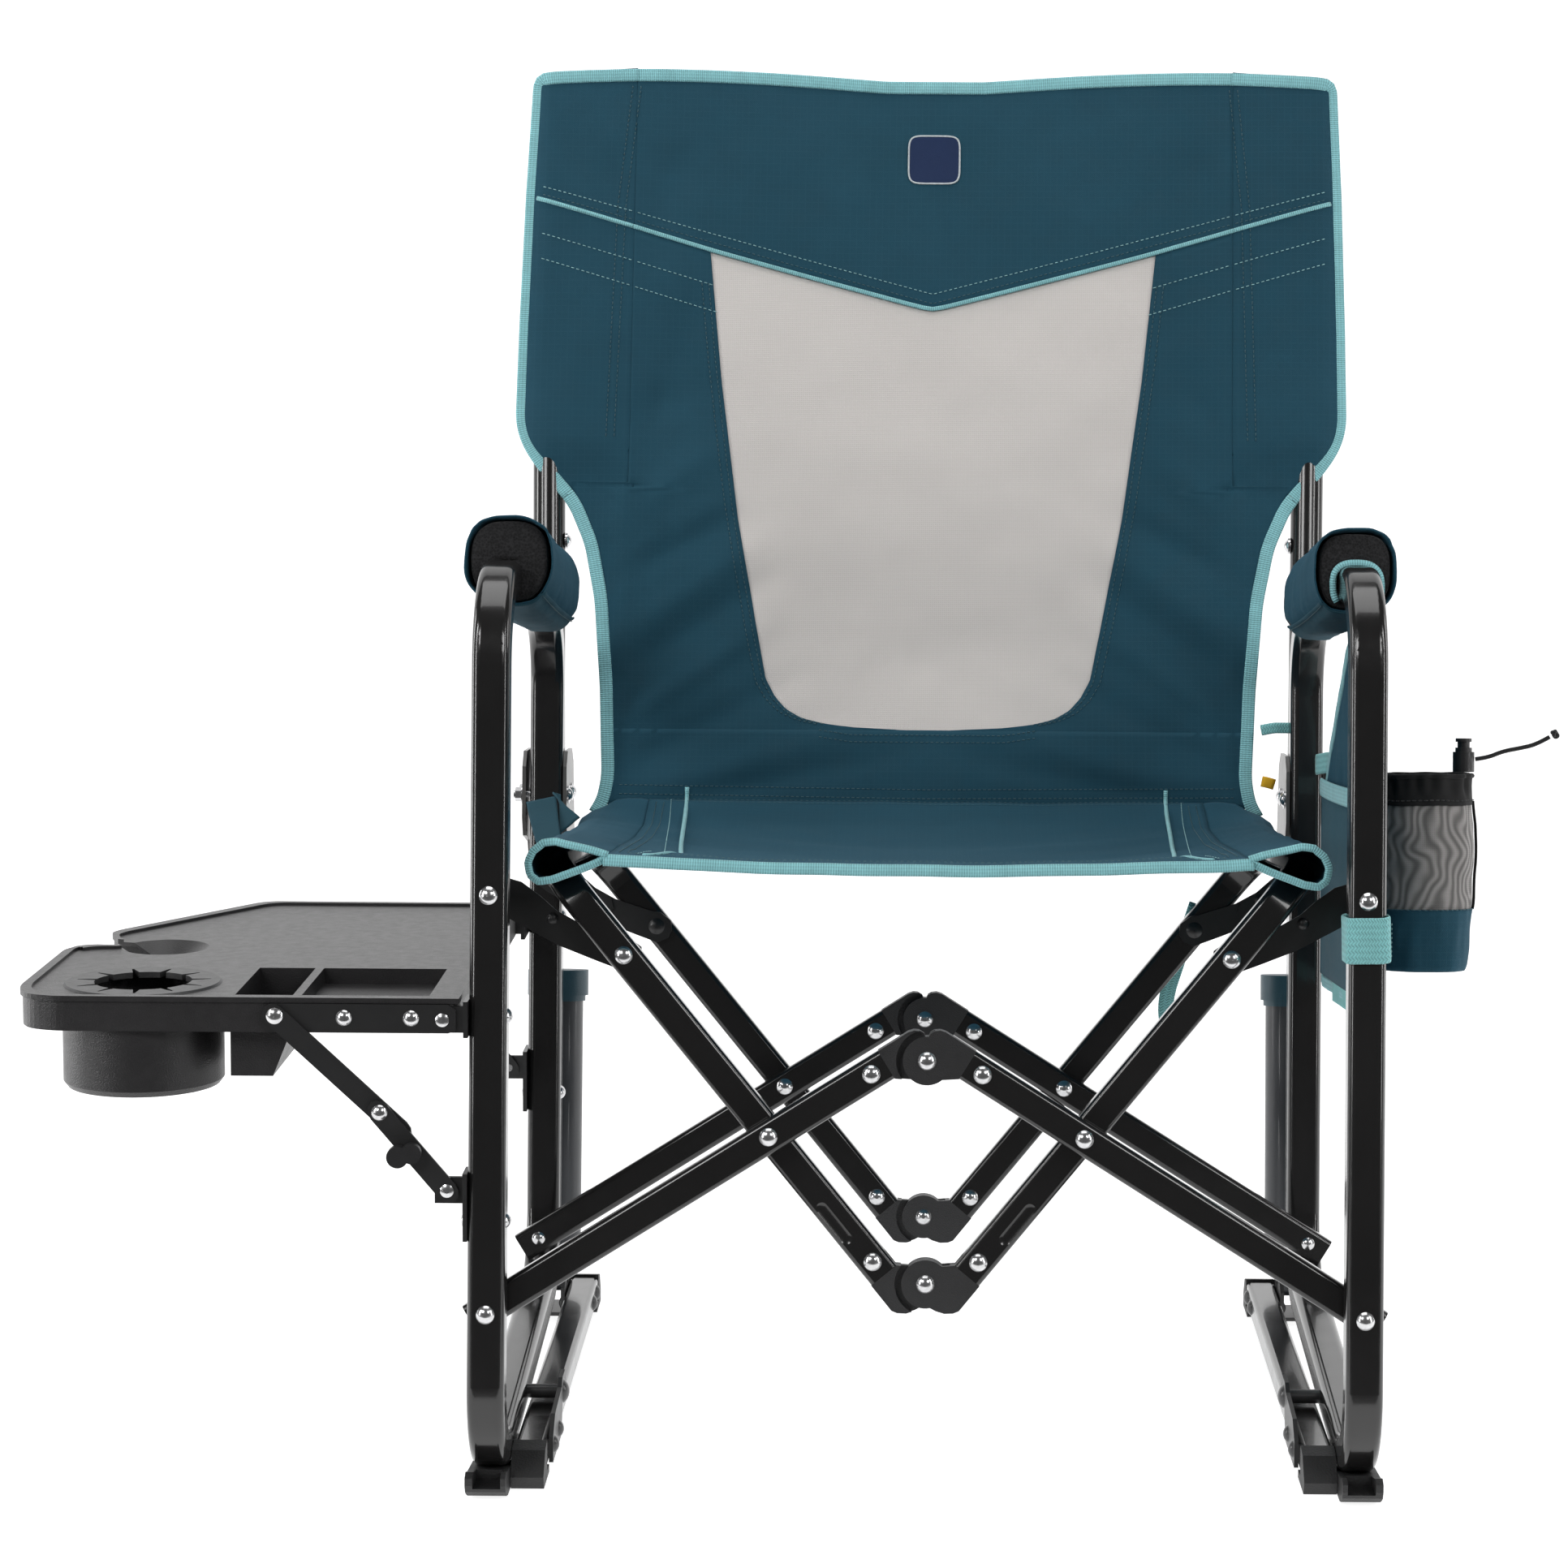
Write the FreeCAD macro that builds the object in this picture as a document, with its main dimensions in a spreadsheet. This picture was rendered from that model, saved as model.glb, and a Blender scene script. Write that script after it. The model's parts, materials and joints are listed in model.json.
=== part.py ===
# Folding camp rocking chair with a side table and a drink pouch, in millimetres.
#
# Row frame: +X to the sitter's left hand side of the frame (the pouch side), +Y to the rear, +Z up, ground at Z = 0.
# The leg frames lean back by "lean" about X: sub-parts of the leg frames and of the folding linkage are drawn in a
# leaning frame whose Y axis is the direction of every fold hinge, and get the leaning Placement at the end.
# Ground tubes, springs and the side table are drawn level.
import FreeCAD, Part
import math
import os
from FreeCAD import Vector as V, Placement, Rotation

doc = FreeCAD.newDocument("camp_rocking_chair")
sheet = doc.addObject("Spreadsheet::Sheet", "dims")
D = {}
_row = [1]


def cell(alias, value):
    r = _row[0]
    sheet.set("A%d" % r, alias)
    sheet.set("B%d" % r, str(value))
    sheet.setAlias("B%d" % r, alias)
    D[alias] = float(value)
    _row[0] += 1


for alias, value in [
    ("lean_angle", 6.5), ("shift_x", 117.0), ("shift_y", -320.4),
    ("leg_half_width", 295.6), ("leg_spacing", 410.0), ("tube_size", 25.4), ("tube_wall", 1.6), ("tube_corner", 6.0),
    ("foot_corner_z", 20.0), ("rear_corner_z", 99.0), ("arm_front_z", 630.0), ("arm_rear_z", 608.0),
    ("foot_bend", 50.0), ("arm_bend", 60.0),
    ("bar_wide", 22.0), ("bar_deep", 16.0), ("bar_wall", 1.5), ("bar_corner", 4.0),
    ("lower_pivot_z", 130.1), ("link_pivot_z", 411.7), ("cross_x", 107.3), ("cross_z", 248.0),
    ("upper_centre_z", 300.4), ("lower_centre_z", 146.5), ("link_b_x", 204.9), ("link_b_z", 371.8),
    ("lower_bar_angle", 58.0), ("seat_bar_angle", 39.5), ("seat_bar_up", 233.0), ("seat_bar_down", 122.0),
    ("seat_bend", 34.0), ("front_lower_y", 21.3), ("front_seat_y", 38.0), ("rear_lower_y", 372.0), ("rear_seat_y", 388.7),
    ("rivet_radius", 3.0), ("rivet_head_radius", 6.2), ("rivet_head_height", 3.2), ("pivot_gap", 0.05),
    ("knuckle_radius", 16.5), ("plate_thick", 2.0),
    ("back_tube_radius", 12.7), ("back_tube_wall", 1.5), ("back_lean", 8.0), ("back_splay", 1.08), ("back_length", 616.0),
    ("back_base_y", 437.0), ("back_base_z", 430.0), ("back_base_x", 296.5),
    ("pad_length", 258.0), ("rock_y", 160.0), ("rock_z", 32.0), ("rock_pin_radius", 4.95),
    ("ground_x", 271.0), ("ground_wide", 22.0), ("ground_tall", 20.0), ("ground_front_y", 60.0), ("ground_length", 440.0),
    ("spring_x", 292.0), ("spring_y", 475.0), ("spring_z", 30.0), ("spring_tube_radius", 20.0), ("spring_tube_bore", 17.0),
    ("spring_tube_length", 225.0), ("spring_cap_radius", 24.0), ("spring_rod_radius", 4.0), ("spring_pin_radius", 3.95),
    ("rod_pin_y", 480.0), ("rod_pin_z", 410.0),
    ("table_hinge_x", 325.0), ("table_hinge_z", 328.5), ("table_top_z", 343.0), ("table_skirt", 24.0), ("table_sheet", 3.0),
    ("cup_x", 537.0), ("cup_y", 79.0), ("cup_outer", 54.5), ("cup_inner", 51.5), ("cup_depth", 71.0),
    ("dish_x", 548.0), ("dish_y", 218.0), ("dish_radius", 31.0),
    ("strut_wide", 14.5), ("strut_x", 437.0), ("strut_z", 331.0), ("knee_x", 367.0), ("knee_z", 266.0),
    ("strut_foot_x", 322.0), ("strut_foot_z", 213.0),
    ("pouch_x", 346.0), ("pouch_y", 100.0), ("pouch_radius", 36.0), ("pouch_base_radius", 33.0), ("pouch_bottom_z", 357.0), ("pouch_tall", 140.0),
    ("cord_diameter", 3.0),
]:
    cell(alias, value)
doc.recompute()

TAU = D["lean_angle"]
SHIFT = V(D["shift_x"], D["shift_y"], 0)
LEAN = Placement(SHIFT, Rotation(V(1, 0, 0), -TAU))
LEVEL = Placement(SHIFT, Rotation())
ST, CT = math.sin(math.radians(TAU)), math.cos(math.radians(TAU))
SIDES = {"right": 1, "left": -1}
nodes = {}
_n = [0]


def nm(stem):
    _n[0] += 1
    return "%s_%d" % (stem, _n[0])


def bind(obj, prop, value):
    if isinstance(value, str):
        obj.setExpression(prop, value)
    else:
        setattr(obj, prop, value)


def world(x, y, z):
    """Leaning frame point in the level frame (without the origin shift)."""
    return V(x, y * CT + z * ST, -y * ST + z * CT)


def leaning(x, y, z):
    """Level frame point in the leaning frame."""
    return V(x, y * CT - z * ST, y * ST + z * CT)


def box(x0, y0, z0, x1, y1, z1, stem="block"):
    o = doc.addObject("Part::Box", nm(stem))
    o.Length, o.Width, o.Height = x1 - x0, y1 - y0, z1 - z0
    o.Placement = Placement(V(x0, y0, z0), Rotation())
    return o


def cyl(base, axis, radius, length, stem="round"):
    o = doc.addObject("Part::Cylinder", nm(stem))
    bind(o, "Radius", radius)
    bind(o, "Height", length)
    o.Placement = Placement(base, Rotation(V(0, 0, 1), axis))
    return o


def dome(base, axis, radius="dims.rivet_head_radius", height="dims.rivet_head_height"):
    """Domed rivet head: a cap of a sphere standing on base."""
    rb = D[radius[5:]] if isinstance(radius, str) else radius
    hh = D[height[5:]] if isinstance(height, str) else height
    rs = (rb * rb + hh * hh) / (2 * hh)
    o = doc.addObject("Part::Sphere", nm("head"))
    o.Radius = rs
    o.Angle1 = math.degrees(math.asin((rs - hh) / rs))
    o.Angle2 = 90
    d = V(axis).normalize()
    o.Placement = Placement(base - d * (rs - hh), Rotation(V(0, 0, 1), axis))
    return o


def prism(points, direction, length, stem="profile"):
    """Closed polygon pushed along direction by length (a number or a cell)."""
    p = doc.addObject("Part::Polygon", nm(stem + "_outline"))
    p.Nodes = points
    p.Close = True
    e = doc.addObject("Part::Extrusion", nm(stem))
    e.Base = p
    e.DirMode = "Custom"
    e.Dir = direction
    bind(e, "LengthFwd", length)
    e.Solid = True
    return e


def fuse(objs, stem="joined"):
    if len(objs) == 1:
        return objs[0]
    o = doc.addObject("Part::MultiFuse", nm(stem))
    o.Shapes = objs
    return o


def cut(base, tools, stem="cut"):
    o = doc.addObject("Part::Cut", nm(stem))
    o.Base = base
    o.Tool = fuse(tools, stem + "_tools")
    return o


def group(objs, stem="group"):
    o = doc.addObject("Part::Compound", nm(stem))
    o.Links = objs
    return o


def feature(shape, stem="shape"):
    o = doc.addObject("Part::Feature", nm(stem))
    o.Shape = shape
    return o


def node(name, obj, frame):
    """The finished sub-part: its label is the node's name, its Placement puts it in the row frame."""
    obj.Label = name
    nodes[name] = (obj, frame)


def arc_path(points, radii, closed=False):
    """Straight runs joined by tangent arcs."""
    edges, n = [], len(points)
    corner = {}
    for i in range(n):
        if not closed and i in (0, n - 1):
            continue
        a, b, c = points[i - 1], points[i], points[(i + 1) % n]
        u, w = (a - b).normalize(), (c - b).normalize()
        ang = u.getAngle(w)
        r = radii[i]
        t = r / math.tan(ang / 2)
        mid = (u + w).normalize()
        ctr = b + mid * (r / math.sin(ang / 2))
        corner[i] = (b + u * t, ctr - mid * r, b + w * t)
    last = n if closed else n - 1
    for i in range(last):
        j = (i + 1) % n
        s = corner[i][2] if i in corner else points[i]
        e = corner[j][0] if j in corner else points[j]
        edges.append(Part.LineSegment(s, e).toShape())
        if j in corner:
            edges.append(Part.Arc(*corner[j]).toShape())
    return Part.Wire(edges)


def rounded_section(origin, du, dv, wide, tall, corner):
    """Rounded rectangle wire in the plane of du and dv."""
    a, b, r = wide / 2, tall / 2, corner
    k = r * (1 - math.sqrt(0.5))
    P = lambda u, v: origin + du * u + dv * v
    e = []
    pts = [((-a + r, -b), (a - r, -b), (a - k, -b + k), (a, -b + r)), ((a, -b + r), (a, b - r), (a - k, b - k), (a - r, b)),
           ((a - r, b), (-a + r, b), (-a + k, b - k), (-a, b - r)), ((-a, b - r), (-a, -b + r), (-a + k, -b + k), (-a + r, -b))]
    for s, t, m, q in pts:
        e.append(Part.LineSegment(P(*s), P(*t)).toShape())
        e.append(Part.Arc(P(*t), P(*m), P(*q)).toShape())
    return Part.Wire(e)


def sweep(path, section, stem="sweep"):
    s = feature(section, stem + "_section")
    p = feature(path, stem + "_path")
    o = doc.addObject("Part::Sweep", nm(stem))
    o.Sections = [s]
    o.Spine = (p, [])
    o.Solid = True
    o.Frenet = False
    o.Transition = "Right corner"
    return o


def rivet(p, axis, length, heads=2, radius="dims.rivet_radius", big=1.0):
    """Shank from p along axis with a domed head at each end."""
    d = V(axis).normalize()
    parts = [cyl(p - d * 0.01, d, radius, length + 0.02)]
    parts.append(dome(p, d * -1, D["rivet_head_radius"] * big, D["rivet_head_height"] * big))
    if heads > 1:
        parts.append(dome(p + d * length, d, D["rivet_head_radius"] * big * 0.8, D["rivet_head_height"] * big * 0.7))
    return fuse(parts, "rivet")


def bolt(p, axis, length, radius=3.0):
    """Bolt with a low round head, a washer at each end and a hexagon nut."""
    d = V(axis).normalize()
    o = V(d.y, d.z, d.x)
    o = (o - d * o.dot(d)).normalize()
    w = d.cross(o)
    q = p + d * (length + 1.2)
    hexa = [q + (o * math.cos(k * math.pi / 3) + w * math.sin(k * math.pi / 3)) * 5.6 for k in range(6)]
    return fuse([cyl(p - d * 1.2, d, radius, length + 8.5), cyl(p - d * 1.2, d, 7.0, 1.2), dome(p - d * 1.2, d * -1, 5.6, 3.2),
                 cyl(p + d * length, d, 7.0, 1.2), prism(hexa, d, 4.8, "nut")], "bolt")


X, Y, Z = V(1, 0, 0), V(0, 1, 0), V(0, 0, 1)
W = D["leg_half_width"]
LS = D["leg_spacing"]
TS = D["tube_size"]
H2 = TS / 2
RR = D["rivet_radius"]
GAP = D["pivot_gap"]
BD = D["bar_deep"]
BW = D["bar_wide"]
YA = {"front": D["front_lower_y"], "rear": D["rear_lower_y"]}
YB = {"front": D["front_seat_y"], "rear": D["rear_seat_y"]}
sa, ca = math.sin(math.radians(D["lower_bar_angle"])), math.cos(math.radians(D["lower_bar_angle"]))
sb, cb = math.sin(math.radians(D["seat_bar_angle"])), math.cos(math.radians(D["seat_bar_angle"]))
PLATE = {"front": (46.7, 48.7), "rear": (377.6, 379.6)}

for side, sx in SIDES.items():
    P = lambda x, y, z, sx=sx: V(sx * x, y, z)
    # ---------------------------------------------------------------- leg loop: one bent tube
    loop_pts = [P(W, 0, D["foot_corner_z"]), P(W, LS, D["rear_corner_z"]), P(W, LS, D["arm_rear_z"]), P(W, 0, D["arm_front_z"])]
    loop_r = [D["foot_bend"], D["arm_bend"], D["arm_bend"], D["arm_bend"]]
    mid = P(W, 0, 300)
    start_pts = [mid, loop_pts[0], loop_pts[1], loop_pts[2], loop_pts[3]]
    # the path starts half way up the front leg, so the seam of the sweep is in a straight run
    open_path = arc_path(start_pts + [mid], [0, D["foot_bend"], D["arm_bend"], D["arm_bend"], D["arm_bend"], 0])
    tc, tw = D["tube_corner"], D["tube_wall"]
    outer = sweep(open_path, rounded_section(mid, X, Y, TS, TS, tc), "loop_outer")
    inner = sweep(open_path, rounded_section(mid, X, Y, TS - 2 * tw, TS - 2 * tw, tc - tw), "loop_inner")
    fat = sweep(open_path, rounded_section(mid, X, Y, TS + 0.6, TS + 0.6, tc), "loop_room")
    holes = []
    for yy in (0, LS):
        for zz in ("lower_pivot_z", "link_pivot_z"):
            holes.append(cyl(P(W, yy - 26, D[zz]), Y, "dims.rivet_radius", 48))
    holes.append(cyl(V(sx * W - 16, LS, 470), X, 3.0, 32))
    pin = leaning(sx * W - 20, D["rock_y"], D["rock_z"])
    holes.append(cyl(pin, X, D["rock_pin_radius"] + GAP, 40))
    if side == "left":
        for zz in (330, 192):
            holes.append(cyl(V(-W - 16, 0, zz), X, 3.0, 32))
            holes.append(cyl(V(-W - 16, LS, zz + 46), X, 3.0, 32))
    node("side_loop_" + side, cut(outer, [inner] + holes, "side_loop"), LEAN)

    # ---------------------------------------------------------------- back upright
    bx, by, bz = D["back_base_x"], D["back_base_y"], D["back_base_z"]
    ldir = V(sx * math.sin(math.radians(D["back_splay"])), math.sin(math.radians(D["back_lean"])), math.cos(math.radians(D["back_lean"]))).normalize()
    b0 = P(bx, by, bz)
    up = cyl(b0, ldir, "dims.back_tube_radius", "dims.back_length", "upright_outer")
    up_in = cyl(b0 - ldir, ldir, "dims.back_tube_radius - dims.back_tube_wall", "dims.back_length - 10", "upright_inner")
    up_pt = b0 + ldir * 42
    up_hi = b0 + ldir * 243
    up_lo_bolt = cyl(V(up_pt.x - 16, up_pt.y, up_pt.z), X, 3.0, 32)
    up_hi_bolt = cyl(V(up_hi.x - 16, up_hi.y, up_hi.z), X, 3.0, 32)
    node("back_upright_" + side, cut(up, [up_in, up_lo_bolt, up_hi_bolt], "back_upright"), LEAN)

    # ---------------------------------------------------------------- bracket that holds upright and spring rod to the rear leg
    def plate_yz(x, thick, pts, hole_list, stem):
        pl = prism([V(x, a, b) for a, b in pts], X, thick, stem)
        return cut(pl, [cyl(V(x - 2, a, b), X, r, thick + 4) for a, b, r in hole_list], stem + "_drilled")

    low_pts = [(400, 452), (400, 492), (410, 504), (448, 506), (462, 496), (474, 446), (492, 418), (490, 404), (480, 398), (468, 402), (446, 432), (408, 438)]
    rod_y, rod_z = D["rod_pin_y"], D["rod_pin_z"]
    hl = [(LS, 470, 3.0), (up_pt.y, up_pt.z, 3.0), (rod_y, rod_z, 3.95)]
    xin = W - H2 - 3.1 if sx > 0 else -(W - H2 - 3.1) - 2.8
    xout = W + H2 + 3.2 if sx > 0 else -(W + H2 + 3.2) - 2.8
    pl_in = plate_yz(xin, 2.8, low_pts, hl, "bracket_inner")
    pl_out = plate_yz(xout, 2.8, low_pts, hl, "bracket_outer")
    node("upright_bracket_" + side, group([pl_in, pl_out], "upright_bracket"), LEAN)
    # big washer on the rear leg and bolts through leg, upright and rod eye
    bl = W - H2 - 3.1
    bolts = []
    for (yy, zz) in ((LS, 470), (up_pt.y, up_pt.z)):
        bolts.append(bolt(V(sx * bl, yy, zz), V(sx, 0, 0), 2 * H2 + 3.1 + 3.2 + 2.8))
    rod_pin = fuse([cyl(V(sx * (bl - 1.0), rod_y, rod_z), V(sx, 0, 0), "dims.spring_pin_radius", 2 * H2 + 11.1), dome(V(sx * bl, rod_y, rod_z), V(-sx, 0, 0), 7, 3),
                    dome(V(sx * (bl + 2 * H2 + 9.1), rod_y, rod_z), V(sx, 0, 0), 7, 3)], "rod_pin")
    bolts.append(rod_pin)
    hib = V(sx * (abs(up_hi.x) - 12.7), up_hi.y, up_hi.z)
    bolts.append(fuse([cyl(hib - V(sx * 1.4, 0, 0), V(sx, 0, 0), 3.0, 27.3), cyl(hib - V(sx * 2.1, 0, 0), V(sx, 0, 0), 6.5, 1.7), dome(hib - V(sx * 2.1, 0, 0), V(-sx, 0, 0), 5.2, 3.0)], "upper_bolt"))
    # ---------------------------------------------------------------- linkage pivots fixed to the legs
    sp_front = cut(cyl(P(W, H2 + 0.05, D["link_pivot_z"]), Y, 7.0, PLATE["front"][0] - H2 - 0.15), [cyl(P(W, H2 - 1, D["link_pivot_z"]), Y, "dims.rivet_radius", 40)])
    sp_rear = cut(cyl(P(W, PLATE["rear"][1] + 0.1, D["link_pivot_z"]), Y, 7.0, LS - H2 - PLATE["rear"][1] - 0.15), [cyl(P(W, 370, D["link_pivot_z"]), Y, "dims.rivet_radius", 40)])
    sp_low = cut(cyl(P(W, YA["rear"] + BD / 2 + 0.1, D["lower_pivot_z"]), Y, 8.0, LS - H2 - YA["rear"] - BD / 2 - 0.15), [cyl(P(W, 370, D["lower_pivot_z"]), Y, "dims.rivet_radius", 40), fat])
    rv = [rivet(P(W, -H2, D["lower_pivot_z"]), Y, YA["front"] + BD / 2 + H2 + 0.3),
          rivet(P(W, -H2, D["link_pivot_z"]), Y, PLATE["front"][1] + H2 + 0.3),
          rivet(P(W, LS + H2, D["lower_pivot_z"]), V(0, -1, 0), LS + H2 - YA["rear"] + BD / 2 + 0.3),
          rivet(P(W, LS + H2, D["link_pivot_z"]), V(0, -1, 0), LS + H2 - PLATE["rear"][0] + 0.3)]
    node("side_fasteners_" + side, group(bolts + rv + [sp_front, sp_rear, sp_low], "side_fasteners"), LEAN)

    # ---------------------------------------------------------------- arm pad: foam in a sleeve round the arm tube
    slope = (D["arm_rear_z"] - D["arm_front_z"]) / LS
    pad_dir = V(0, 1, slope).normalize()
    pad_up = V(0, -slope, 1).normalize()
    py0 = 75.0
    pc = P(W - 3.2, py0, D["arm_front_z"] + slope * py0 + 14)
    prof = []
    for k in range(24):
        t = 2 * math.pi * k / 24
        cx, cz = math.cos(t), math.sin(t)
        ex = 0.62
        prof.append(pc + X * (28.5 * math.copysign(abs(cx) ** ex, cx)) + pad_up * (31 * math.copysign(abs(cz) ** ex, cz)))
    pad = prism(prof, pad_dir, "dims.pad_length", "arm_pad")
    pad_cut = cut(pad, [fat], "arm_pad_bored")
    node("arm_pad_" + side, pad_cut, LEAN)

    # ---------------------------------------------------------------- lower bars: from the lower leg pivot up to the upper centre knuckle
    def straight_bar(yc, p_a, d, start, end, hole_specs, stem):
        """Rounded rectangular tube in the plane y = yc, along d from p_a, wide in that plane."""
        nrm = V(-d.z, 0, d.x)
        o = V(p_a.x, yc, p_a.z) + d * start
        sec_o = rounded_section(o, nrm, Y, BW, BD, D["bar_corner"])
        sec_i = rounded_section(o - d, nrm, Y, BW - 2 * D["bar_wall"], BD - 2 * D["bar_wall"], D["bar_corner"] - D["bar_wall"])
        def run(sec, extra):
            e = doc.addObject("Part::Extrusion", nm(stem))
            e.Base = feature(sec, stem + "_section")
            e.DirMode = "Custom"
            e.Dir = d
            e.LengthFwd = end - start + extra
            e.Solid = True
            return e
        tools = [run(sec_i, 2)]
        for pt, r in hole_specs:
            tools.append(cyl(V(pt.x, yc - 12, pt.z), Y, r, 24))
        return cut(run(sec_o, 0), tools, stem)

    dA = V(-sx * sa, 0, ca)
    p1 = P(W, 0, D["lower_pivot_z"])
    p3 = P(D["cross_x"], 0, D["cross_z"])
    hu = V(0, 0, D["upper_centre_z"])
    hl_c = V(0, 0, D["lower_centre_z"])
    p4 = P(D["link_b_x"], 0, D["link_b_z"])
    a_end = p1 + dA * 304
    dB = V(sx * sb, 0, cb)
    b_end = p3 - dB * 112
    rail = p3 + dB * D["seat_bar_up"]
    node("lower_bars_" + side, group([straight_bar(YA[fr], p1, dA, -15.0, 316.0, [(p1, RR + GAP), (p3, RR), (a_end, RR)], "lower_bar") for fr in ("front", "rear")], "lower_bars"), LEAN)

    # ---------------------------------------------------------------- centre knuckles
    def knuckle(yc, hub, d, bar_point, bar_end, tongue, hole_r, stem):
        """Plastic knuckle: a disc round the hub, an arm in line with the bar and a plug inside the bar."""
        kr = D["knuckle_radius"]
        nrm = V(-d.z, 0, d.x)
        along = (hub - bar_point).dot(d)
        face = bar_point + d * bar_end
        lo, hi = yc - BD / 2, yc + BD / 2
        y0 = V(0, lo, 0)
        A = face + nrm * (BW / 2)
        B = face - nrm * (BW / 2)
        toward = (hub - face)
        side_of = 1 if toward.dot(nrm) > 0 else -1
        hubp = V(hub.x, 0, hub.z)
        t_hi = hubp + nrm * side_of * kr
        near, far = (A, B) if side_of > 0 else (B, A)
        # the hood carries the bar's outer edge on to the middle and round the hub
        back = 1 if face.x > 0 else -1
        if d.z > 0:
            hood = [V(back * a, 0, hub.z + b) for a, b in ((13, 19.4), (9, 20.7), (5, 20.3), (2.2, 18.6), (0.8, 15.5))]
        else:
            hood = [V(back * a, 0, hub.z - b) for a, b in ((23, 18.2), (19, 19.8), (13, 20.0), (7, 18.2), (2, 15.5))]
        arm = prism([V(v.x, lo, v.z) for v in [near, far] + hood + [hubp, t_hi]], Y, BD, stem + "_arm")
        disc = cyl(V(hub.x, lo, hub.z), Y, "dims.knuckle_radius", BD)
        body = fuse([arm, disc], stem + "_body")
        clear_r = kr + 4.5
        if tongue:
            room = [cyl(V(hub.x, lo - 1, hub.z), Y, clear_r, 1 + 4.7), cyl(V(hub.x, hi - 4.7, hub.z), Y, clear_r, 5.7)]
        else:
            room = [cyl(V(hub.x, lo + 4.3, hub.z), Y, clear_r, BD - 8.6)]
        room.append(cyl(V(hub.x, lo - 1, hub.z), Y, hole_r, BD + 2))
        head = cut(body, room, stem + "_head")
        w2, d2 = BW / 2 - D["bar_wall"] - 0.9, BD / 2 - D["bar_wall"] - 0.9
        c = face - d * 30
        plug = prism([V((c + nrm * w2).x, yc - d2, (c + nrm * w2).z), V((c - nrm * w2).x, yc - d2, (c - nrm * w2).z), V((face - nrm * w2 + d * 0.5).x, yc - d2, (face - nrm * w2 + d * 0.5).z),
                      V((face + nrm * w2 + d * 0.5).x, yc - d2, (face + nrm * w2 + d * 0.5).z)], Y, 2 * d2, stem + "_plug")
        plug_hole = cyl(V((face - d * 12).x, yc - 12, (face - d * 12).z), Y, "dims.rivet_radius", 24)
        return cut(fuse([head, plug], stem + "_whole"), [plug_hole], stem)

    kn_a = [knuckle(YA[fr], hu, dA, p1, 316.0, side == "left", RR if side == "right" else RR + 6.0, "upper_knuckle") for fr in ("front", "rear")]
    node("upper_knuckles_" + side, group(kn_a, "upper_knuckles"), LEAN)
    kn_b = [knuckle(YB[fr], hl_c, dB * -1, p3, 124.0, side == "left", RR if side == "right" else RR + GAP, "lower_knuckle") for fr in ("front", "rear")]
    node("lower_knuckles_" + side, group(kn_b, "lower_knuckles"), LEAN)

    # rivets carried by the lower bars: crossing pins, knuckle rivets and the stub pins of the upper centre pivot
    rv = []
    for fr in ("front", "rear"):
        ya = YA[fr] - BD / 2
        rv.append(rivet(V(p3.x, ya, p3.z), Y, YB[fr] + BD / 2 + 0.3 - ya))
        rv.append(rivet(V(a_end.x, ya, a_end.z), Y, BD))
        if side == "right":
            rv.append(fuse([cyl(V(0, ya - 0.01, hu.z), Y, "dims.rivet_radius", 4.1), dome(V(0, ya, hu.z), V(0, -1, 0))]))
            rv.append(fuse([cyl(V(0, ya + BD + 0.01, hu.z), V(0, -1, 0), "dims.rivet_radius", 4.1), dome(V(0, ya + BD, hu.z), Y, 2.9, 0.5)]))
    node("lower_bar_rivets_" + side, group(rv, "lower_bar_rivets"), LEAN)

    # ---------------------------------------------------------------- seat frame: one U-shaped tube, front bar, seat rail and rear bar
    s0 = p3 - dB * 124.0
    u_pts = [V(s0.x, YB["front"], s0.z), V(rail.x, YB["front"], rail.z), V(rail.x, YB["rear"], rail.z), V(s0.x, YB["rear"], s0.z)]
    u_path = arc_path(u_pts, [0, D["seat_bend"], D["seat_bend"], 0])
    nB = V(-dB.z, 0, dB.x)
    u_out = sweep(u_path, rounded_section(u_pts[0], nB, Y, BW, BD, D["bar_corner"]), "seat_outer")
    u_in = sweep(u_path, rounded_section(u_pts[0], nB, Y, BW - 3.0, BD - 3.0, D["bar_corner"] - 1.5), "seat_inner")
    tools = [u_in]
    for fr in ("front", "rear"):
        for pt, r in ((p3, RR + GAP), (b_end, RR), (p4 - nB * ((p4 - p3).dot(nB)), RR)):
            tools.append(cyl(V(pt.x, YB[fr] - 12, pt.z), Y, r, 24))
    # pressed groove in the front face of the front bar, above the lower knuckle
    g0 = p3 - dB * 62 + nB * (-4.0 * sx) + V(0, YB["front"] - BD / 2 - 7.7, 0)
    g1 = g0 - dB * 26
    tools.append(cyl(g0, dB * -1, 8.8, 26))
    for g in (g0, g1):
        ball = doc.addObject("Part::Sphere", nm("groove_end"))
        ball.Radius = 8.8
        ball.Placement = Placement(g, Rotation())
        tools.append(ball)
    node("seat_frame_" + side, cut(u_out, tools, "seat_frame"), LEAN)
    p4b = p4 - nB * ((p4 - p3).dot(nB))
    rv = []
    for fr in ("front", "rear"):
        yb = YB[fr] - BD / 2
        rv.append(rivet(V(b_end.x, yb, b_end.z), Y, BD))
        rv.append(rivet(V(p4b.x, yb, p4b.z), Y, BD, 1) if fr == "front" else fuse([cyl(V(p4b.x, yb - 0.9, p4b.z), Y, "dims.rivet_radius", BD + 0.9), dome(V(p4b.x, yb + BD, p4b.z), Y)]))
        if side == "right":
            rv.append(rivet(V(0, yb, hl_c.z), Y, BD, 2))
    node("seat_frame_rivets_" + side, group(rv, "seat_frame_rivets"), LEAN)

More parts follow.
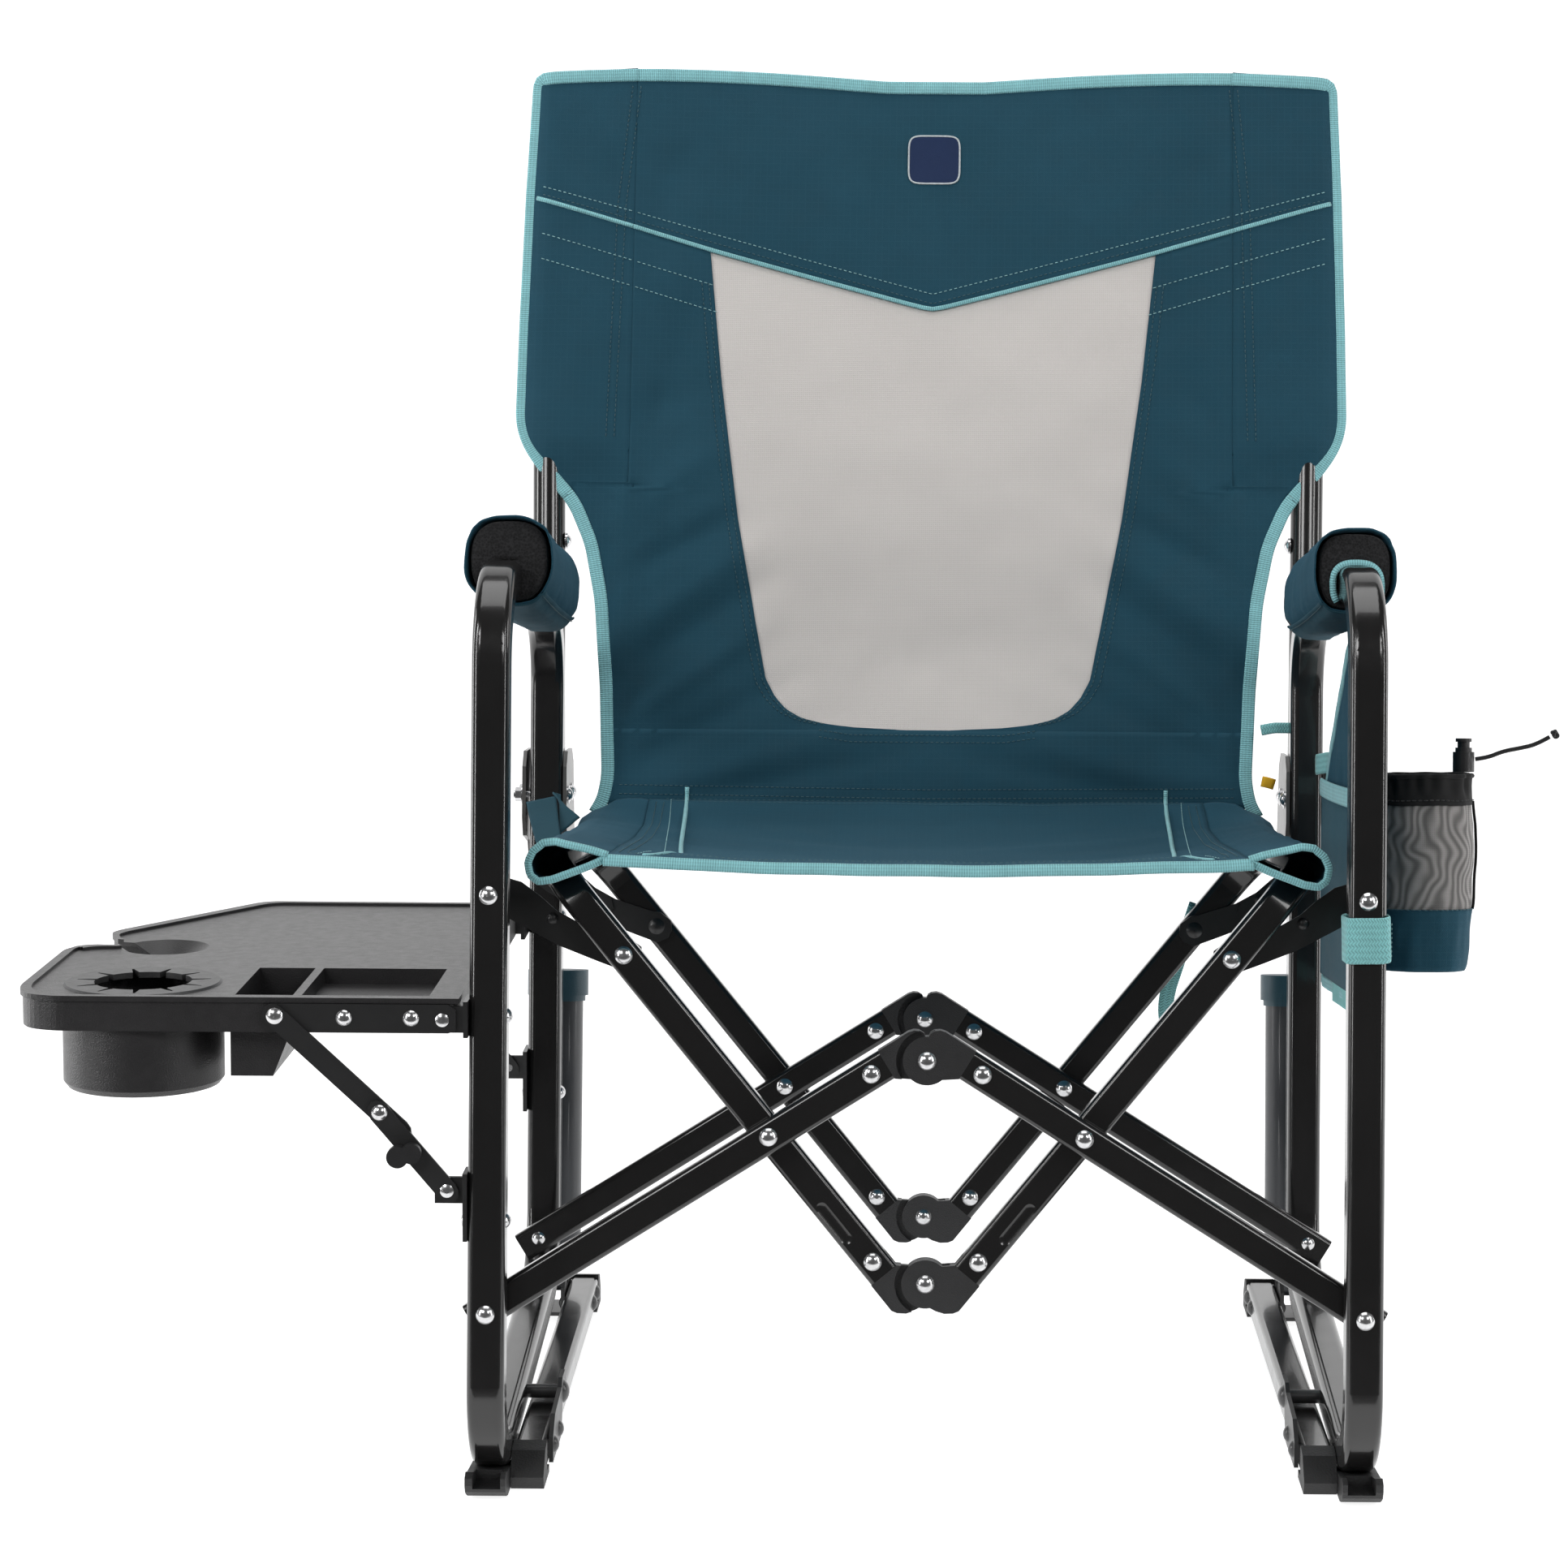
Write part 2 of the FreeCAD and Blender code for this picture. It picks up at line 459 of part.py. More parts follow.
    # ---------------------------------------------------------------- link plates between the legs and the seat bars
    link = []
    for fr in ("front", "rear"):
        y0, y1 = PLATE[fr]
        q2, q4 = V(sx * W, y0, D["link_pivot_z"]), V(p4b.x, y0, p4b.z)
        dv = (q4 - q2).normalize()
        nv = V(-dv.z, 0, dv.x)
        if nv.z < 0:
            nv = nv * -1
        ln = (q4 - q2).Length
        out = []
        for uu, vv in ((-8.6, 5), (-3, 10.5), (12, 13), (28, 10), (42, 6), (60, 5), (ln - 8, 9), (ln - 2, 11), (ln + 8, 9), (ln + 12, 2), (ln + 12, -4), (ln + 6, -11), (ln - 16, -13), (ln - 44, -15), (10, -13), (-4, -9.6), (-9.6, -3)):
            out.append(q2 + dv * uu + nv * vv)
        pl = prism(out, Y, "dims.plate_thick", "link_plate")
        link.append((fr, cut(pl, [cyl(q2 - Y * 2, Y, RR + GAP, 6), cyl(q4 - Y * 2, Y, RR + 1.0, 6)], "link_plate_drilled"), q2, q4, dv, nv, ln))
    hooks = []
    for fr, _, q2, q4, dv, nv, ln in link:
        y0, y1 = PLATE[fr]
        yy = y1 if fr == "front" else y0 - 1.6
        o = V(q2.x, yy, q2.z)
        pts = [o + dv * 30 + nv * -9, o + dv * 56 + nv * -10, o + dv * 62 + nv * -2, o + dv * 56 + nv * 5, o + dv * 42 + nv * 5, o + dv * 30 + nv * 7]
        hooks.append(prism(pts, Y, 1.6, "lock_tab"))
        hooks.append(dome(V(q2.x, min(yy, y0), q2.z) + dv * 42, V(0, -1, 0), 4.2, 2.4))
        if fr == "rear":
            hooks.append(dome(V(q4.x, y0, q4.z), V(0, -1, 0), 6.2, 2.2))
    node("link_plates_" + side, group([l[1] for l in link] + hooks, "link_plates"), LEAN)

    # ---------------------------------------------------------------- ground tube, feet, rocking pivot and spring mount (drawn level)
    gx, gw, gt = D["ground_x"], D["ground_wide"], D["ground_tall"]
    gy = D["ground_front_y"]
    sec = rounded_section(V(sx * gx, gy, 15.5), X, Z, gw, gt, 4.0)
    sec2 = rounded_section(V(sx * gx, gy - 1, 15.5), X, Z, gw - 3, gt - 3, 2.5)
    ge = doc.addObject("Part::Extrusion", nm("ground_outer"))
    ge.Base, ge.DirMode, ge.Dir, ge.Solid = feature(sec, "ground_section"), "Custom", Y, True
    ge.setExpression("LengthFwd", "dims.ground_length")
    gi = doc.addObject("Part::Extrusion", nm("ground_inner"))
    gi.Base, gi.DirMode, gi.Dir, gi.Solid = feature(sec2, "ground_section"), "Custom", Y, True
    gi.setExpression("LengthFwd", "dims.ground_length + 2")
    gholes = [cyl(V(sx * gx - 16, yy, 15.5), X, 3.0, 32) for yy in (88, 124, 457, 488)]
    node("ground_tube_" + side, cut(ge, [gi] + gholes, "ground_tube"), LEVEL)
    yr = gy + D["ground_length"]
    f1 = prism([V(sx * gx - 11.4, 36, 0), V(sx * gx - 11.4, gy + 14, 0), V(sx * gx - 11.4, gy + 14, 5.3), V(sx * gx - 11.4, gy - 0.1, 5.3), V(sx * gx - 11.4, gy - 0.1, 27), V(sx * gx - 11.4, 46, 24), V(sx * gx - 11.4, 32, 9)], X, 22.8, "front_foot")
    f2 = prism([V(sx * gx - 11.4, yr + 22, 0), V(sx * gx - 11.4, yr - 14, 0), V(sx * gx - 11.4, yr - 14, 5.3), V(sx * gx - 11.4, yr + 0.1, 5.3), V(sx * gx - 11.4, yr + 0.1, 27), V(sx * gx - 11.4, yr + 14, 24), V(sx * gx - 11.4, yr + 24, 9)], X, 22.8, "rear_foot")
    node("ground_feet_" + side, group([f1, f2], "ground_feet"), LEVEL)
    xi = sx * (gx - gw / 2 - 0.05)
    ppts = [(76, 6), (76, 24), (92, 36), (142, 40), (150, 45), (170, 45), (178, 36), (178, 26), (150, 26), (140, 6)]
    x0 = xi - 3.0 if sx > 0 else xi
    pp = prism([V(x0, a, b) for a, b in ppts], X, 3.0, "pivot_plate")
    pp = cut(pp, [cyl(V(x0 - 1, yy, 15.5), X, 3.0, 5) for yy in (88, 124)] + [cyl(V(x0 - 1, D["rock_y"], D["rock_z"]), X, 4.95, 5)], "pivot_plate_drilled")
    pin_in = V(sx * (gx - gw / 2 - 3.05), D["rock_y"], D["rock_z"])
    rock = fuse([cyl(pin_in - V(sx * 1, 0, 0), V(sx, 0, 0), "dims.rock_pin_radius", (W + H2) - (gx - gw / 2) + 6.05), dome(pin_in, V(-sx, 0, 0), 8.5, 4), cyl(V(sx * (W + H2 + 0.3), D["rock_y"], D["rock_z"]), V(sx, 0, 0), 8.0, 2.0),
                 dome(V(sx * (W + H2 + 2.3), D["rock_y"], D["rock_z"]), V(sx, 0, 0), 7.5, 3.5)], "rock_pin")
    gb = [rock]
    for yy in (88, 124):
        gb.append(fuse([cyl(V(sx * (gx - gw / 2 - 3.05) - sx * 1, yy, 15.5), V(sx, 0, 0), 3.0, gw + 4.0), dome(V(sx * (gx - gw / 2 - 3.05), yy, 15.5), V(-sx, 0, 0))], "plate_bolt"))
    # spring clevis on the outside of the ground tube
    sy, sz, spx = D["spring_y"], D["spring_z"], D["spring_x"]
    xo = gx + gw / 2 + 0.05
    cpts = [(447, 6), (447, 30), (456, 37.2), (488, 37.2), (498, 31), (498, 6)]
    ear1 = prism([V(sx * xo if sx > 0 else -xo - 3.0, a, b) for a, b in cpts], X, 3.0, "clevis_ear")
    ear2 = prism([V(sx * (xo + 17.2) if sx > 0 else -(xo + 17.2) - 3.0, a, b) for a, b in ((456, 8), (456, 32), (464, 37.8), (486, 37.8), (494, 32), (494, 8))], X, 3.0, "clevis_ear")
    web = box(min(sx * xo, sx * (xo + 20.2)), 456, 5, max(sx * xo, sx * (xo + 20.2)), 494, 8.0)
    clev = cut(fuse([ear1, ear2, web], "clevis_body"), [cyl(V(sx * xo - 26, sy, sz), X, 3.95, 52)] + [cyl(V(sx * xo - 6, yy, 15.5), X, 3.0, 12) for yy in (457, 488)], "spring_clevis")
    node("ground_brackets_" + side, group([pp, clev], "ground_brackets"), LEVEL)
    gb.append(fuse([cyl(V(sx * (xo + 0.5), sy, sz), V(sx, 0, 0), "dims.spring_pin_radius", 20.5), dome(V(sx * (xo + 20.2), sy, sz), V(sx, 0, 0), 6.5, 3)], "spring_pin"))
    for yy in (457,):
        gb.append(fuse([cyl(V(sx * (gx - gw / 2 - 0.05) - sx * 0.5, yy, 15.5), V(sx, 0, 0), 3.0, gw + 4.4), dome(V(sx * (gx - gw / 2 - 0.05), yy, 15.5), V(-sx, 0, 0)), dome(V(sx * (xo + 3.0), yy, 15.5), V(sx, 0, 0), 5, 2.4)], "clevis_bolt"))
    gb.append(fuse([cyl(V(sx * (gx - gw / 2 - 0.05) - sx * 0.5, 488, 15.5), V(sx, 0, 0), 3.0, gw + 3.4), dome(V(sx * (gx - gw / 2 - 0.05), 488, 15.5), V(-sx, 0, 0))], "clevis_bolt"))
    node("ground_bolts_" + side, group(gb, "ground_bolts"), LEVEL)

    # ---------------------------------------------------------------- spring unit: cylinder, cap, rod with its piston, and the coil
    foot_pt = V(sx * spx, sy, sz)
    top_w = world(sx * spx, rod_y, rod_z)
    ax = (top_w - foot_pt)
    full = ax.Length
    ax = ax.normalize()
    tube_l = D["spring_tube_length"]
    lo_off = 16.0
    eye = fuse([cyl(V(sx * (xo + 3.4), sy, sz), V(sx, 0, 0), 9.0, 13.4), cyl(foot_pt + ax * 3, ax, 5.4, lo_off + 0.5)], "spring_eye")
    shell = cut(cyl(foot_pt + ax * lo_off, ax, "dims.spring_tube_radius", "dims.spring_tube_length"), [cyl(foot_pt + ax * (lo_off + 5), ax, "dims.spring_tube_bore", "dims.spring_tube_length")], "spring_shell")
    body = fuse([shell, cut(eye, [cyl(V(sx * spx - 20, sy, sz), X, 4.0, 40)], "spring_eye_bored")], "spring_cylinder")
    node("spring_cylinder_" + side, body, LEVEL)
    ct = foot_pt + ax * (lo_off + tube_l)
    cap = cut(fuse([cyl(ct - ax * 15.5, ax, "dims.spring_cap_radius", 20.0), cyl(ct - ax * 20.0, ax, 21.8, 5.0)], "cap_body"), [cyl(ct - ax * 21, ax, "dims.spring_tube_radius", 21.0), cyl(ct - ax * 3, ax, 4.6, 12)], "spring_cap")
    node("spring_cap_" + side, cap, LEVEL)
    head_at = 168.0
    rod = fuse([cyl(foot_pt + ax * head_at, ax, "dims.spring_rod_radius", full - head_at - 6.0), cyl(foot_pt + ax * (head_at - 6), ax, 16.2, 6.5),
                cyl(top_w + V(-sx * 8, 0, 0), V(sx, 0, 0), 8.5, 16)], "rod_body")
    rod = cut(rod, [cyl(top_w + V(-sx * 20, 0, 0), V(sx, 0, 0), 6.2, 40)], "spring_rod")
    node("spring_rod_" + side, rod, LEVEL)
    turns, wire_r, coil_r = 9, 2.0, 12.0
    coil_len = head_at - 6 - lo_off - 5 - 2 * wire_r - 2.0
    helix = Part.makeHelix(coil_len / turns, coil_len, coil_r)
    prof_w = Part.Wire([Part.makeCircle(wire_r, V(coil_r, 0, 0), V(0, 1, 0))])
    coil = Part.Wire(helix.Edges).makePipeShell([prof_w], True, True)
    coil.Placement = Placement(foot_pt + ax * (lo_off + 5 + wire_r + 1.0), Rotation(Z, ax))
    node("spring_coil_" + side, feature(coil, "spring_coil"), LEVEL)

# -------------------------------------------------------------------- front shoes: a level block hollowed for the bend of the leg loop
for side, sx in SIDES.items():
    lo_x, hi_x = (W - 12.85, W + 14.6) if sx > 0 else (-W - 14.6, -W + 12.85)
    side_view = prism([leaning(lo_x, a, b) for a, b in ((22, 0), (104, 0), (110, 5), (110, 16), (60, 13), (20, 17), (9, 20), (3.2, 17), (3.0, 12), (6, 7), (13, 2.2))], X, hi_x - lo_x, "shoe_side")
    c4 = 5.0
    out_c = [(hi_x - c4 * (1 - math.sin(k * math.pi / 8)), c4 * (1 - math.cos(k * math.pi / 8))) for k in range(5)] if sx > 0 else [(hi_x, 0.0)]
    in_c = [(lo_x, 0.0)] if sx > 0 else [(lo_x + c4 * (1 - math.cos(k * math.pi / 8)), c4 * (1 - math.sin(k * math.pi / 8))) for k in range(5)]
    front_view = prism([leaning(a, -10, b) for a, b in in_c + out_c + [(hi_x, 60), (lo_x, 60)]], leaning(0, 1, 0), 130, "shoe_front")
    blk = doc.addObject("Part::MultiCommon", nm("shoe_body"))
    blk.Shapes = [side_view, front_view]
    lip_room = prism([leaning(sx * W - 9.5, a, b) for a, b in ((-6, 9.5), (26, 9.5), (26, 30), (-6, 30))], X, 19.0, "shoe_lip")
    fatloop = [o for o in doc.Objects if o.Name.startswith("loop_room") and o.isDerivedFrom("Part::Sweep")]
    room = fatloop[0] if side == "right" else fatloop[1]
    node("front_shoe_" + side, cut(blk, [room, lip_room], "front_shoe"), LEAN)

# -------------------------------------------------------------------- side table, drawn level on the left (-X) side
th, tz, ts = D["table_top_z"], D["table_hinge_z"], D["table_sheet"]
outline = [(-315, 20), (-585, 20), (-603, 27), (-611.6, 42), (-614.6, 60), (-614.6, 196), (-609, 209), (-598, 215), (-585, 215), (-583, 222), (-584, 236), (-596, 262), (-592, 276), (-510, 404), (-500, 410), (-315, 410)]


def rounded(pts, rounds=2, keep=(0, 15)):
    """Corner cutting on a closed outline; the two ends at the hinge side stay sharp."""
    for _ in range(rounds):
        new = []
        for i, (a, b) in enumerate(pts):
            pa, pb = pts[i - 1], pts[(i + 1) % len(pts)]
            if i in keep:
                new.append((a, b))
                continue
            for q in (pa, pb):
                k = 0.25 if math.hypot(q[0] - a, q[1] - b) < 40 else 0.25 * 12 / math.hypot(q[0] - a, q[1] - b)
                new.append((a + (q[0] - a) * k, b + (q[1] - b) * k))
        keep = (0, len(new) - 1)
        pts = new
    return pts


outline = rounded(outline)
top = prism([V(a, b, th - D["table_skirt"]) for a, b in outline], Z, D["table_skirt"], "table_blank")


def inset(pts, k):
    cx, cy = -450.0, 205.0
    out = []
    for a, b in pts:
        out.append((a + (k if a < cx else -k), b + (k if b < cy else -k)))
    return out


lip = prism([V(a, b, th - 3.6) for a, b in inset(outline, -1.4)], Z, 3.6, "table_lip")
lip_end = box(-313.9, 10, th - 6, -300, 420, th + 2)
lip_room = prism([V(a, b, th - 6) for a, b in inset(outline, 2.9)], Z, 8, "table_lip_room")
lip = cut(lip, [lip_end, lip_room], "table_lip_trimmed")
hollow = prism([V(a, b, th - D["table_skirt"] - 1) for a, b in inset(outline, 3.0)], Z, D["table_skirt"] - ts - 2.0 + 1, "table_hollow")
rim = prism([V(a, b, th - 2.0) for a, b in inset(outline, 5.0)], Z, 4.0, "table_field")
cx, cy = -D["cup_x"], D["cup_y"]
cup_foot = doc.addObject("Part::Cone", nm("cup_foot"))
cup_foot.Radius1, cup_foot.Radius2, cup_foot.Height = D["cup_outer"] - 3.0, D["cup_outer"], 4.0
cup_foot.Placement = Placement(V(cx, cy, th - D["cup_depth"]), Rotation())
cup_out = cyl(V(cx, cy, th - D["cup_depth"] + 4), Z, "dims.cup_outer", D["cup_depth"] - 7)
cup_in = cyl(V(cx, cy, th - D["cup_depth"] + 3), Z, "dims.cup_inner", D["cup_depth"] + 5)
dish = doc.addObject("Part::Cone", nm("dish"))
dish.Radius1, dish.Radius2, dish.Height = 12, D["dish_radius"], 12
dish.Placement = Placement(V(-D["dish_x"], D["dish_y"], th - 12.0 - 1.99), Rotation())
dish_wall = doc.addObject("Part::Cone", nm("dish_wall"))
dish_wall.Radius1, dish_wall.Radius2, dish_wall.Height = 15, D["dish_radius"] + 3, 14
dish_wall.Placement = Placement(V(-D["dish_x"], D["dish_y"], th - 16), Rotation())
stem_hole = cyl(V(-D["dish_x"], D["dish_y"], th - 30), Z, 9.0, 40)
stem_slot = prism([V(-D["dish_x"], D["dish_y"] - 7, th - 30), V(-D["dish_x"], D["dish_y"] + 9, th - 30), V(-630, D["dish_y"] + 34, th - 30), V(-630, D["dish_y"] + 2, th - 30)], Z, 40, "stem_slot")
deep_walls = prism([V(a, 35, th - b) for a, b in ((-470, 4), (-425, 4), (-425, 16), (-441.5, 57), (-470, 57))], Y, 107, "pocket_walls")
tray_walls = fuse([box(-473, 33, th - 16, -332, 145, th - 3), deep_walls], "tray_walls")
pocket_deep = prism([V(a, 38, th - b) for a, b in ((-467, -4), (-428, -4), (-428, 16), (-444.5, 54), (-467, 54))], Y, 101, "pocket_deep")
pocket_flat = box(-422, 38, th - 13, -336, 139, th + 4)
ribs = fuse([box(-612, 176, th - 20, -318, 178, th - 4), box(-510, 250, th - 18, -508, 404, th - 4)], "table_ribs")
pan = cut(top, [hollow, rim], "table_pan")
solid = fuse([pan, lip, cup_out, cup_foot, tray_walls, dish_wall], "table_body")
ear_room = []
for y0_, y1_ in ((19.0, 24.2), (405.8, 411.0)):
    ear_room.append(cyl(V(-D["table_hinge_x"], y0_, tz), Y, 12.9, y1_ - y0_))
    ear_room.append(box(-D["table_hinge_x"] - 0.5, y0_, tz - 12, -D["table_hinge_x"] + 12.5, y1_, tz + 9.5))
# room in the end skirt for the bracket plates and their bolt heads as the table swings down
for y_ in (world(-W, 0.0, 330).y, world(-W, LS, 376).y):
    ear_room.append(box(-320, y_ - 7.0, th - 30, -310, y_ + 7.0, tz + 4.0))
    ear_room.append(box(-316.4, y_ - 20.0, th - 30, -310, y_ + 20.0, th - 20.5))
tool = [cup_in, dish, stem_hole, stem_slot, pocket_deep, pocket_flat] + ear_room
node("table_top", cut(solid, tool, "table_top"), LEVEL)

# cup ring with flexible fingers, set into the rim of the cup
flange = doc.addObject("Part::Cone", nm("ring_flange"))
flange.Radius1, flange.Radius2, flange.Height = 53.6, 52.2, 1.4
flange.Placement = Placement(V(cx, cy, th - 1.95), Rotation())
ring = cut(fuse([cyl(V(cx, cy, th - 4.6), Z, 51.3, 2.8), flange], "ring_disc"), [cyl(V(cx, cy, th - 8), Z, 33.0, 12)], "finger_disc")
slits = []
for k in range(11):
    a = 2 * math.pi * (k + 0.35) / 11
    o = V(cx, cy, th - 9)
    d = V(math.cos(a), math.sin(a), 0)
    n = V(-d.y, d.x, 0)
    slits.append(prism([o + d * 30 + n * 2.6, o + d * 30 - n * 2.6, o + d * 46 - n * 0.7, o + d * 46 + n * 0.7], Z, 12, "slit"))
node("cup_ring", cut(ring, slits, "cup_ring"), LEVEL)

# steel arms riveted to the table's front and rear skirts, carrying the hinge pins
Tx, Tz = -D["table_hinge_x"], tz
YS = {"front": (17.7, 19.9), "rear": (410.1, 412.3)}
arms, trv = [], []
for fr, (y0, y1) in YS.items():
    pl = prism([V(a, y0, b) for a, b in ((Tx + 9, tz - 7), (Tx + 9, tz + 7), (Tx + 4, tz + 10.5), (-440, tz + 10.5), (-446, tz + 4), (-446, tz - 6), (-440, tz - 9), (Tx + 4, tz - 9))], Y, y1 - y0, "table_arm")
    arms.append(cut(pl, [cyl(V(Tx, y0 - 1, Tz), Y, 3.05, 5), cyl(V(-D["strut_x"], y0 - 1, D["strut_z"]), Y, 3.05, 5)] + [cyl(V(xx, y0 - 1, tz + 1), Y, 3.0, 5) for xx in (-346, -391)], "table_arm_drilled"))
    for xx in (-346, -391):
        p = V(xx, y0 if fr == "front" else y1, tz + 1)
        dd = V(0, 1 if fr == "front" else -1, 0)
        trv.append(fuse([cyl(p - dd * 0.01, dd, 3.0, 2.2), dome(p, dd * -1, 5.4, 2.8)], "table_rivet"))
node("table_arms", group(arms, "table_arms"), LEVEL)
node("table_rivets", group(trv, "table_rivets"), LEVEL)

# folding struts, front and rear: upper link in one plane and lower link in the next one
su = V(-D["strut_x"], 0, D["strut_z"])
sk = V(-D["knee_x"], 0, D["knee_z"])
sf = V(-D["strut_foot_x"], 0, D["strut_foot_z"])
hw = D["strut_wide"] / 2


def strap(a, b, y0, thick, over_a, over_b, hole_a, hole_b, stem):
    d = (b - a).normalize()
    n = V(-d.z, 0, d.x)
    pts = []
    for k in range(7):
        t = math.pi / 2 + math.pi * k / 6
        pts.append(a + d * (over_a * math.cos(t)) + n * (hw * math.sin(t)))
    for k in range(7):
        t = -math.pi / 2 + math.pi * k / 6
        pts.append(b + d * (over_b * math.cos(t)) + n * (hw * math.sin(t)))
    pl = prism([V(p.x, y0, p.z) for p in pts], Y, thick, stem)
    tl = []
    if hole_a:
        tl.append(cyl(V(a.x, y0 - 1, a.z), Y, hole_a, thick + 2))
    if hole_b:
        tl.append(cyl(V(b.x, y0 - 1, b.z), Y, hole_b, thick + 2))
    return cut(pl, tl, stem + "_drilled") if tl else pl


UL = {"front": (15.3, 17.4), "rear": (412.6, 414.7)}
LL = {"front": (12.9, 15.0), "rear": (415.0, 417.1)}
dk = (sf - sk).normalize()
ups, los, urv, lrv = [], [], [], []
for fr in ("front", "rear"):
    a0, a1 = UL[fr]
    l0, l1 = LL[fr]
    ups.append(strap(su, sk + (sk - su).normalize() * 18, a0, a1 - a0, 9, 9, 3.0, 0, "strut_upper"))
    los.append(strap(sk, sf, l0, l1 - l0, 9, 9, 3.0, 3.05, "strut_lower"))
    # shoulder rivet of the upper link in the table arm, and the knee rivet in the lower link
    yy = a0 if fr == "front" else a1
    dd = V(0, 1 if fr == "front" else -1, 0)
    urv.append(fuse([cyl(V(su.x, yy, su.z) - dd * 0.01, dd, 3.0, 4.7), dome(V(su.x, yy, su.z), dd * -1, 5.6, 2.4 if fr == "front" else 2.2)], "strut_rivet"))
    yy = l0 if fr == "front" else l1
    lrv.append(fuse([cyl(V(sk.x, yy, sk.z) - dd * 0.01, dd, 3.0, l1 - l0 + 0.0), dome(V(sk.x, yy, sk.z), dd * -1, 5.4, 2.8)], "knee_rivet"))
node("strut_uppers", group(ups + urv, "strut_uppers"), LEVEL)
# lock button that slides in the lower link
bq = sk + dk * 34.0
nk = V(-dk.z, 0, dk.x)
los2 = []
for i, fr in enumerate(("front", "rear")):
    l0, l1 = LL[fr]
    if fr == "front":
        slot = cyl(V(bq.x, l0 - 1, bq.z), Y, 4.6, l1 - l0 + 2)
        los2.append(cut(los[i], [slot], "strut_lower_slotted"))
    else:
        los2.append(los[i])
node("strut_lowers", group(los2 + lrv, "strut_lowers"), LEVEL)
btn = fuse([cyl(V(bq.x, 4.6, bq.z), Y, 4.5, 10.3), cyl(V(bq.x, 3.8, bq.z), Y, 6.9, 5.0), cyl(V((bq - nk * 8.5 - dk * 4).x, 4.0, (bq - nk * 8.5 - dk * 4).z), Y, 7.4, 6.5)], "button_body")
node("lock_button", btn, LEVEL)

# hinge and strut brackets bolted to the outside of the left legs
brk, bbl = [], []
for fr in ("front", "rear"):
    for zz, px, pz in ((330, Tx, Tz), (192, sf.x, sf.z)):
        zz2 = zz if fr == "front" else zz + 46
        yc = 0.0 if fr == "front" else LS
        c = world(-W, yc, zz2)
        xl = -W - H2 - 0.05
        if fr == "front":
            ear = (20.3, 23.3) if pz == Tz else (15.4, 18.4)
        else:
            ear = (406.6, 409.6) if pz == Tz else (417.5, 420.5)
        b_lo, b_hi = c.y - 11.5, c.y + 11.5
        yl, yh = min(ear[0], b_lo), max(ear[1], b_hi)
        base_pl = box(xl - 3.0, yl, min(pz, c.z) - 12, xl, yh, max(pz, c.z) + 12)
        earp = box(px - 8.5, ear[0], pz - 9, xl, ear[1], pz + 9)
        tl = [cyl(V(xl - 5, c.y, c.z), X, 3.0, 10)]
        br = fuse([base_pl, earp], "table_bracket")
        tl.append(cyl(V(px, ear[0] - 1, pz), Y, 3.0, 5))
        brk.append(cut(br, tl, "table_bracket_drilled"))
        # bracket bolt across the leg
        b0_ = V(xl - 3.0, c.y, c.z)
        # leaning bolt axis is X in both frames
        bbl.append(fuse([cyl(b0_ - X * 0.2, X, 3.0, TS + 3.3), dome(b0_, V(-1, 0, 0), 5.2, 2.6), dome(V(-W + H2, c.y, c.z), X, 5.2, 3.2)], "bracket_bolt"))
        # hinge pins of the table arms and of the strut feet
        if pz == Tz:
            pa = (YS[fr][0] - 0.3) if fr == "front" else ear[0]
            pb = ear[1] if fr == "front" else YS[fr][1] + 0.3
        else:
            pa = LL[fr][0] - 0.3
            pb = ear[1]
        head1 = dome(V(px, pa, pz), V(0, -1, 0), 4.6, 1.4) if fr == "front" else dome(V(px, pb, pz), Y, 4.6, 1.4)
        bbl.append(fuse([cyl(V(px, pa, pz), Y, 3.0, pb - pa), head1], "hinge_pin"))
node("table_brackets", group(brk, "table_brackets"), LEVEL)
node("table_bracket_bolts", group(bbl, "table_bracket_bolts"), LEVEL)

# -------------------------------------------------------------------- fabric: seat sling, back sling, organiser, pouch, strap
zr = D["cross_z"] + cb * D["seat_bar_up"]
seat = prism([V(-268, 24, zr + 16), V(268, 24, zr + 16), V(268, 392, zr + 16), V(-268, 392, zr + 16)], Z, 4.0, "seat_sling")
node("seat_sling", seat, LEAN)
bl_ = math.tan(math.radians(D["back_lean"]))
fy = lambda z: D["back_base_y"] + (z - D["back_base_z"]) * bl_ - D["back_tube_radius"] / math.cos(math.radians(D["back_lean"])) - 4.6
back_out = [(-232, 462), (232, 462), (244, 520), (250, 600), (262, 660), (300, 715), (322, 760), (321, 1046), (-321, 1046), (-322, 760), (-300, 715), (-262, 660), (-250, 600), (-244, 520)]
back = prism([V(a, fy(b), b) for a, b in back_out], V(0, -math.cos(math.radians(D["back_lean"])), math.sin(math.radians(D["back_lean"]))), 3.5, "back_sling")
node("back_sling", back, LEAN)
org = prism([V(307.1, a, b) for a, b in ((18, 326), (18, 582), (24, 595), (38, 605), (200, 600), (226, 584), (300, 540), (372, 486), (386, 470), (386, 330))], X, 2.2, "organizer_panel")
loop_room = [o for o in doc.Objects if o.Name.startswith("loop_room") and o.isDerivedFrom("Part::Sweep")][0]
node("organizer_panel", cut(org, [loop_room], "organizer_trimmed"), LEAN)
pouch_o = doc.addObject("Part::Cone", nm("pouch_outer"))
pouch_o.setExpression("Radius1", "dims.pouch_base_radius")
pouch_o.setExpression("Radius2", "dims.pouch_radius")
pouch_o.setExpression("Height", "dims.pouch_tall")
pouch_o.Placement = Placement(V(D["pouch_x"], D["pouch_y"], D["pouch_bottom_z"]), Rotation())
pouch_i = doc.addObject("Part::Cone", nm("pouch_inner"))
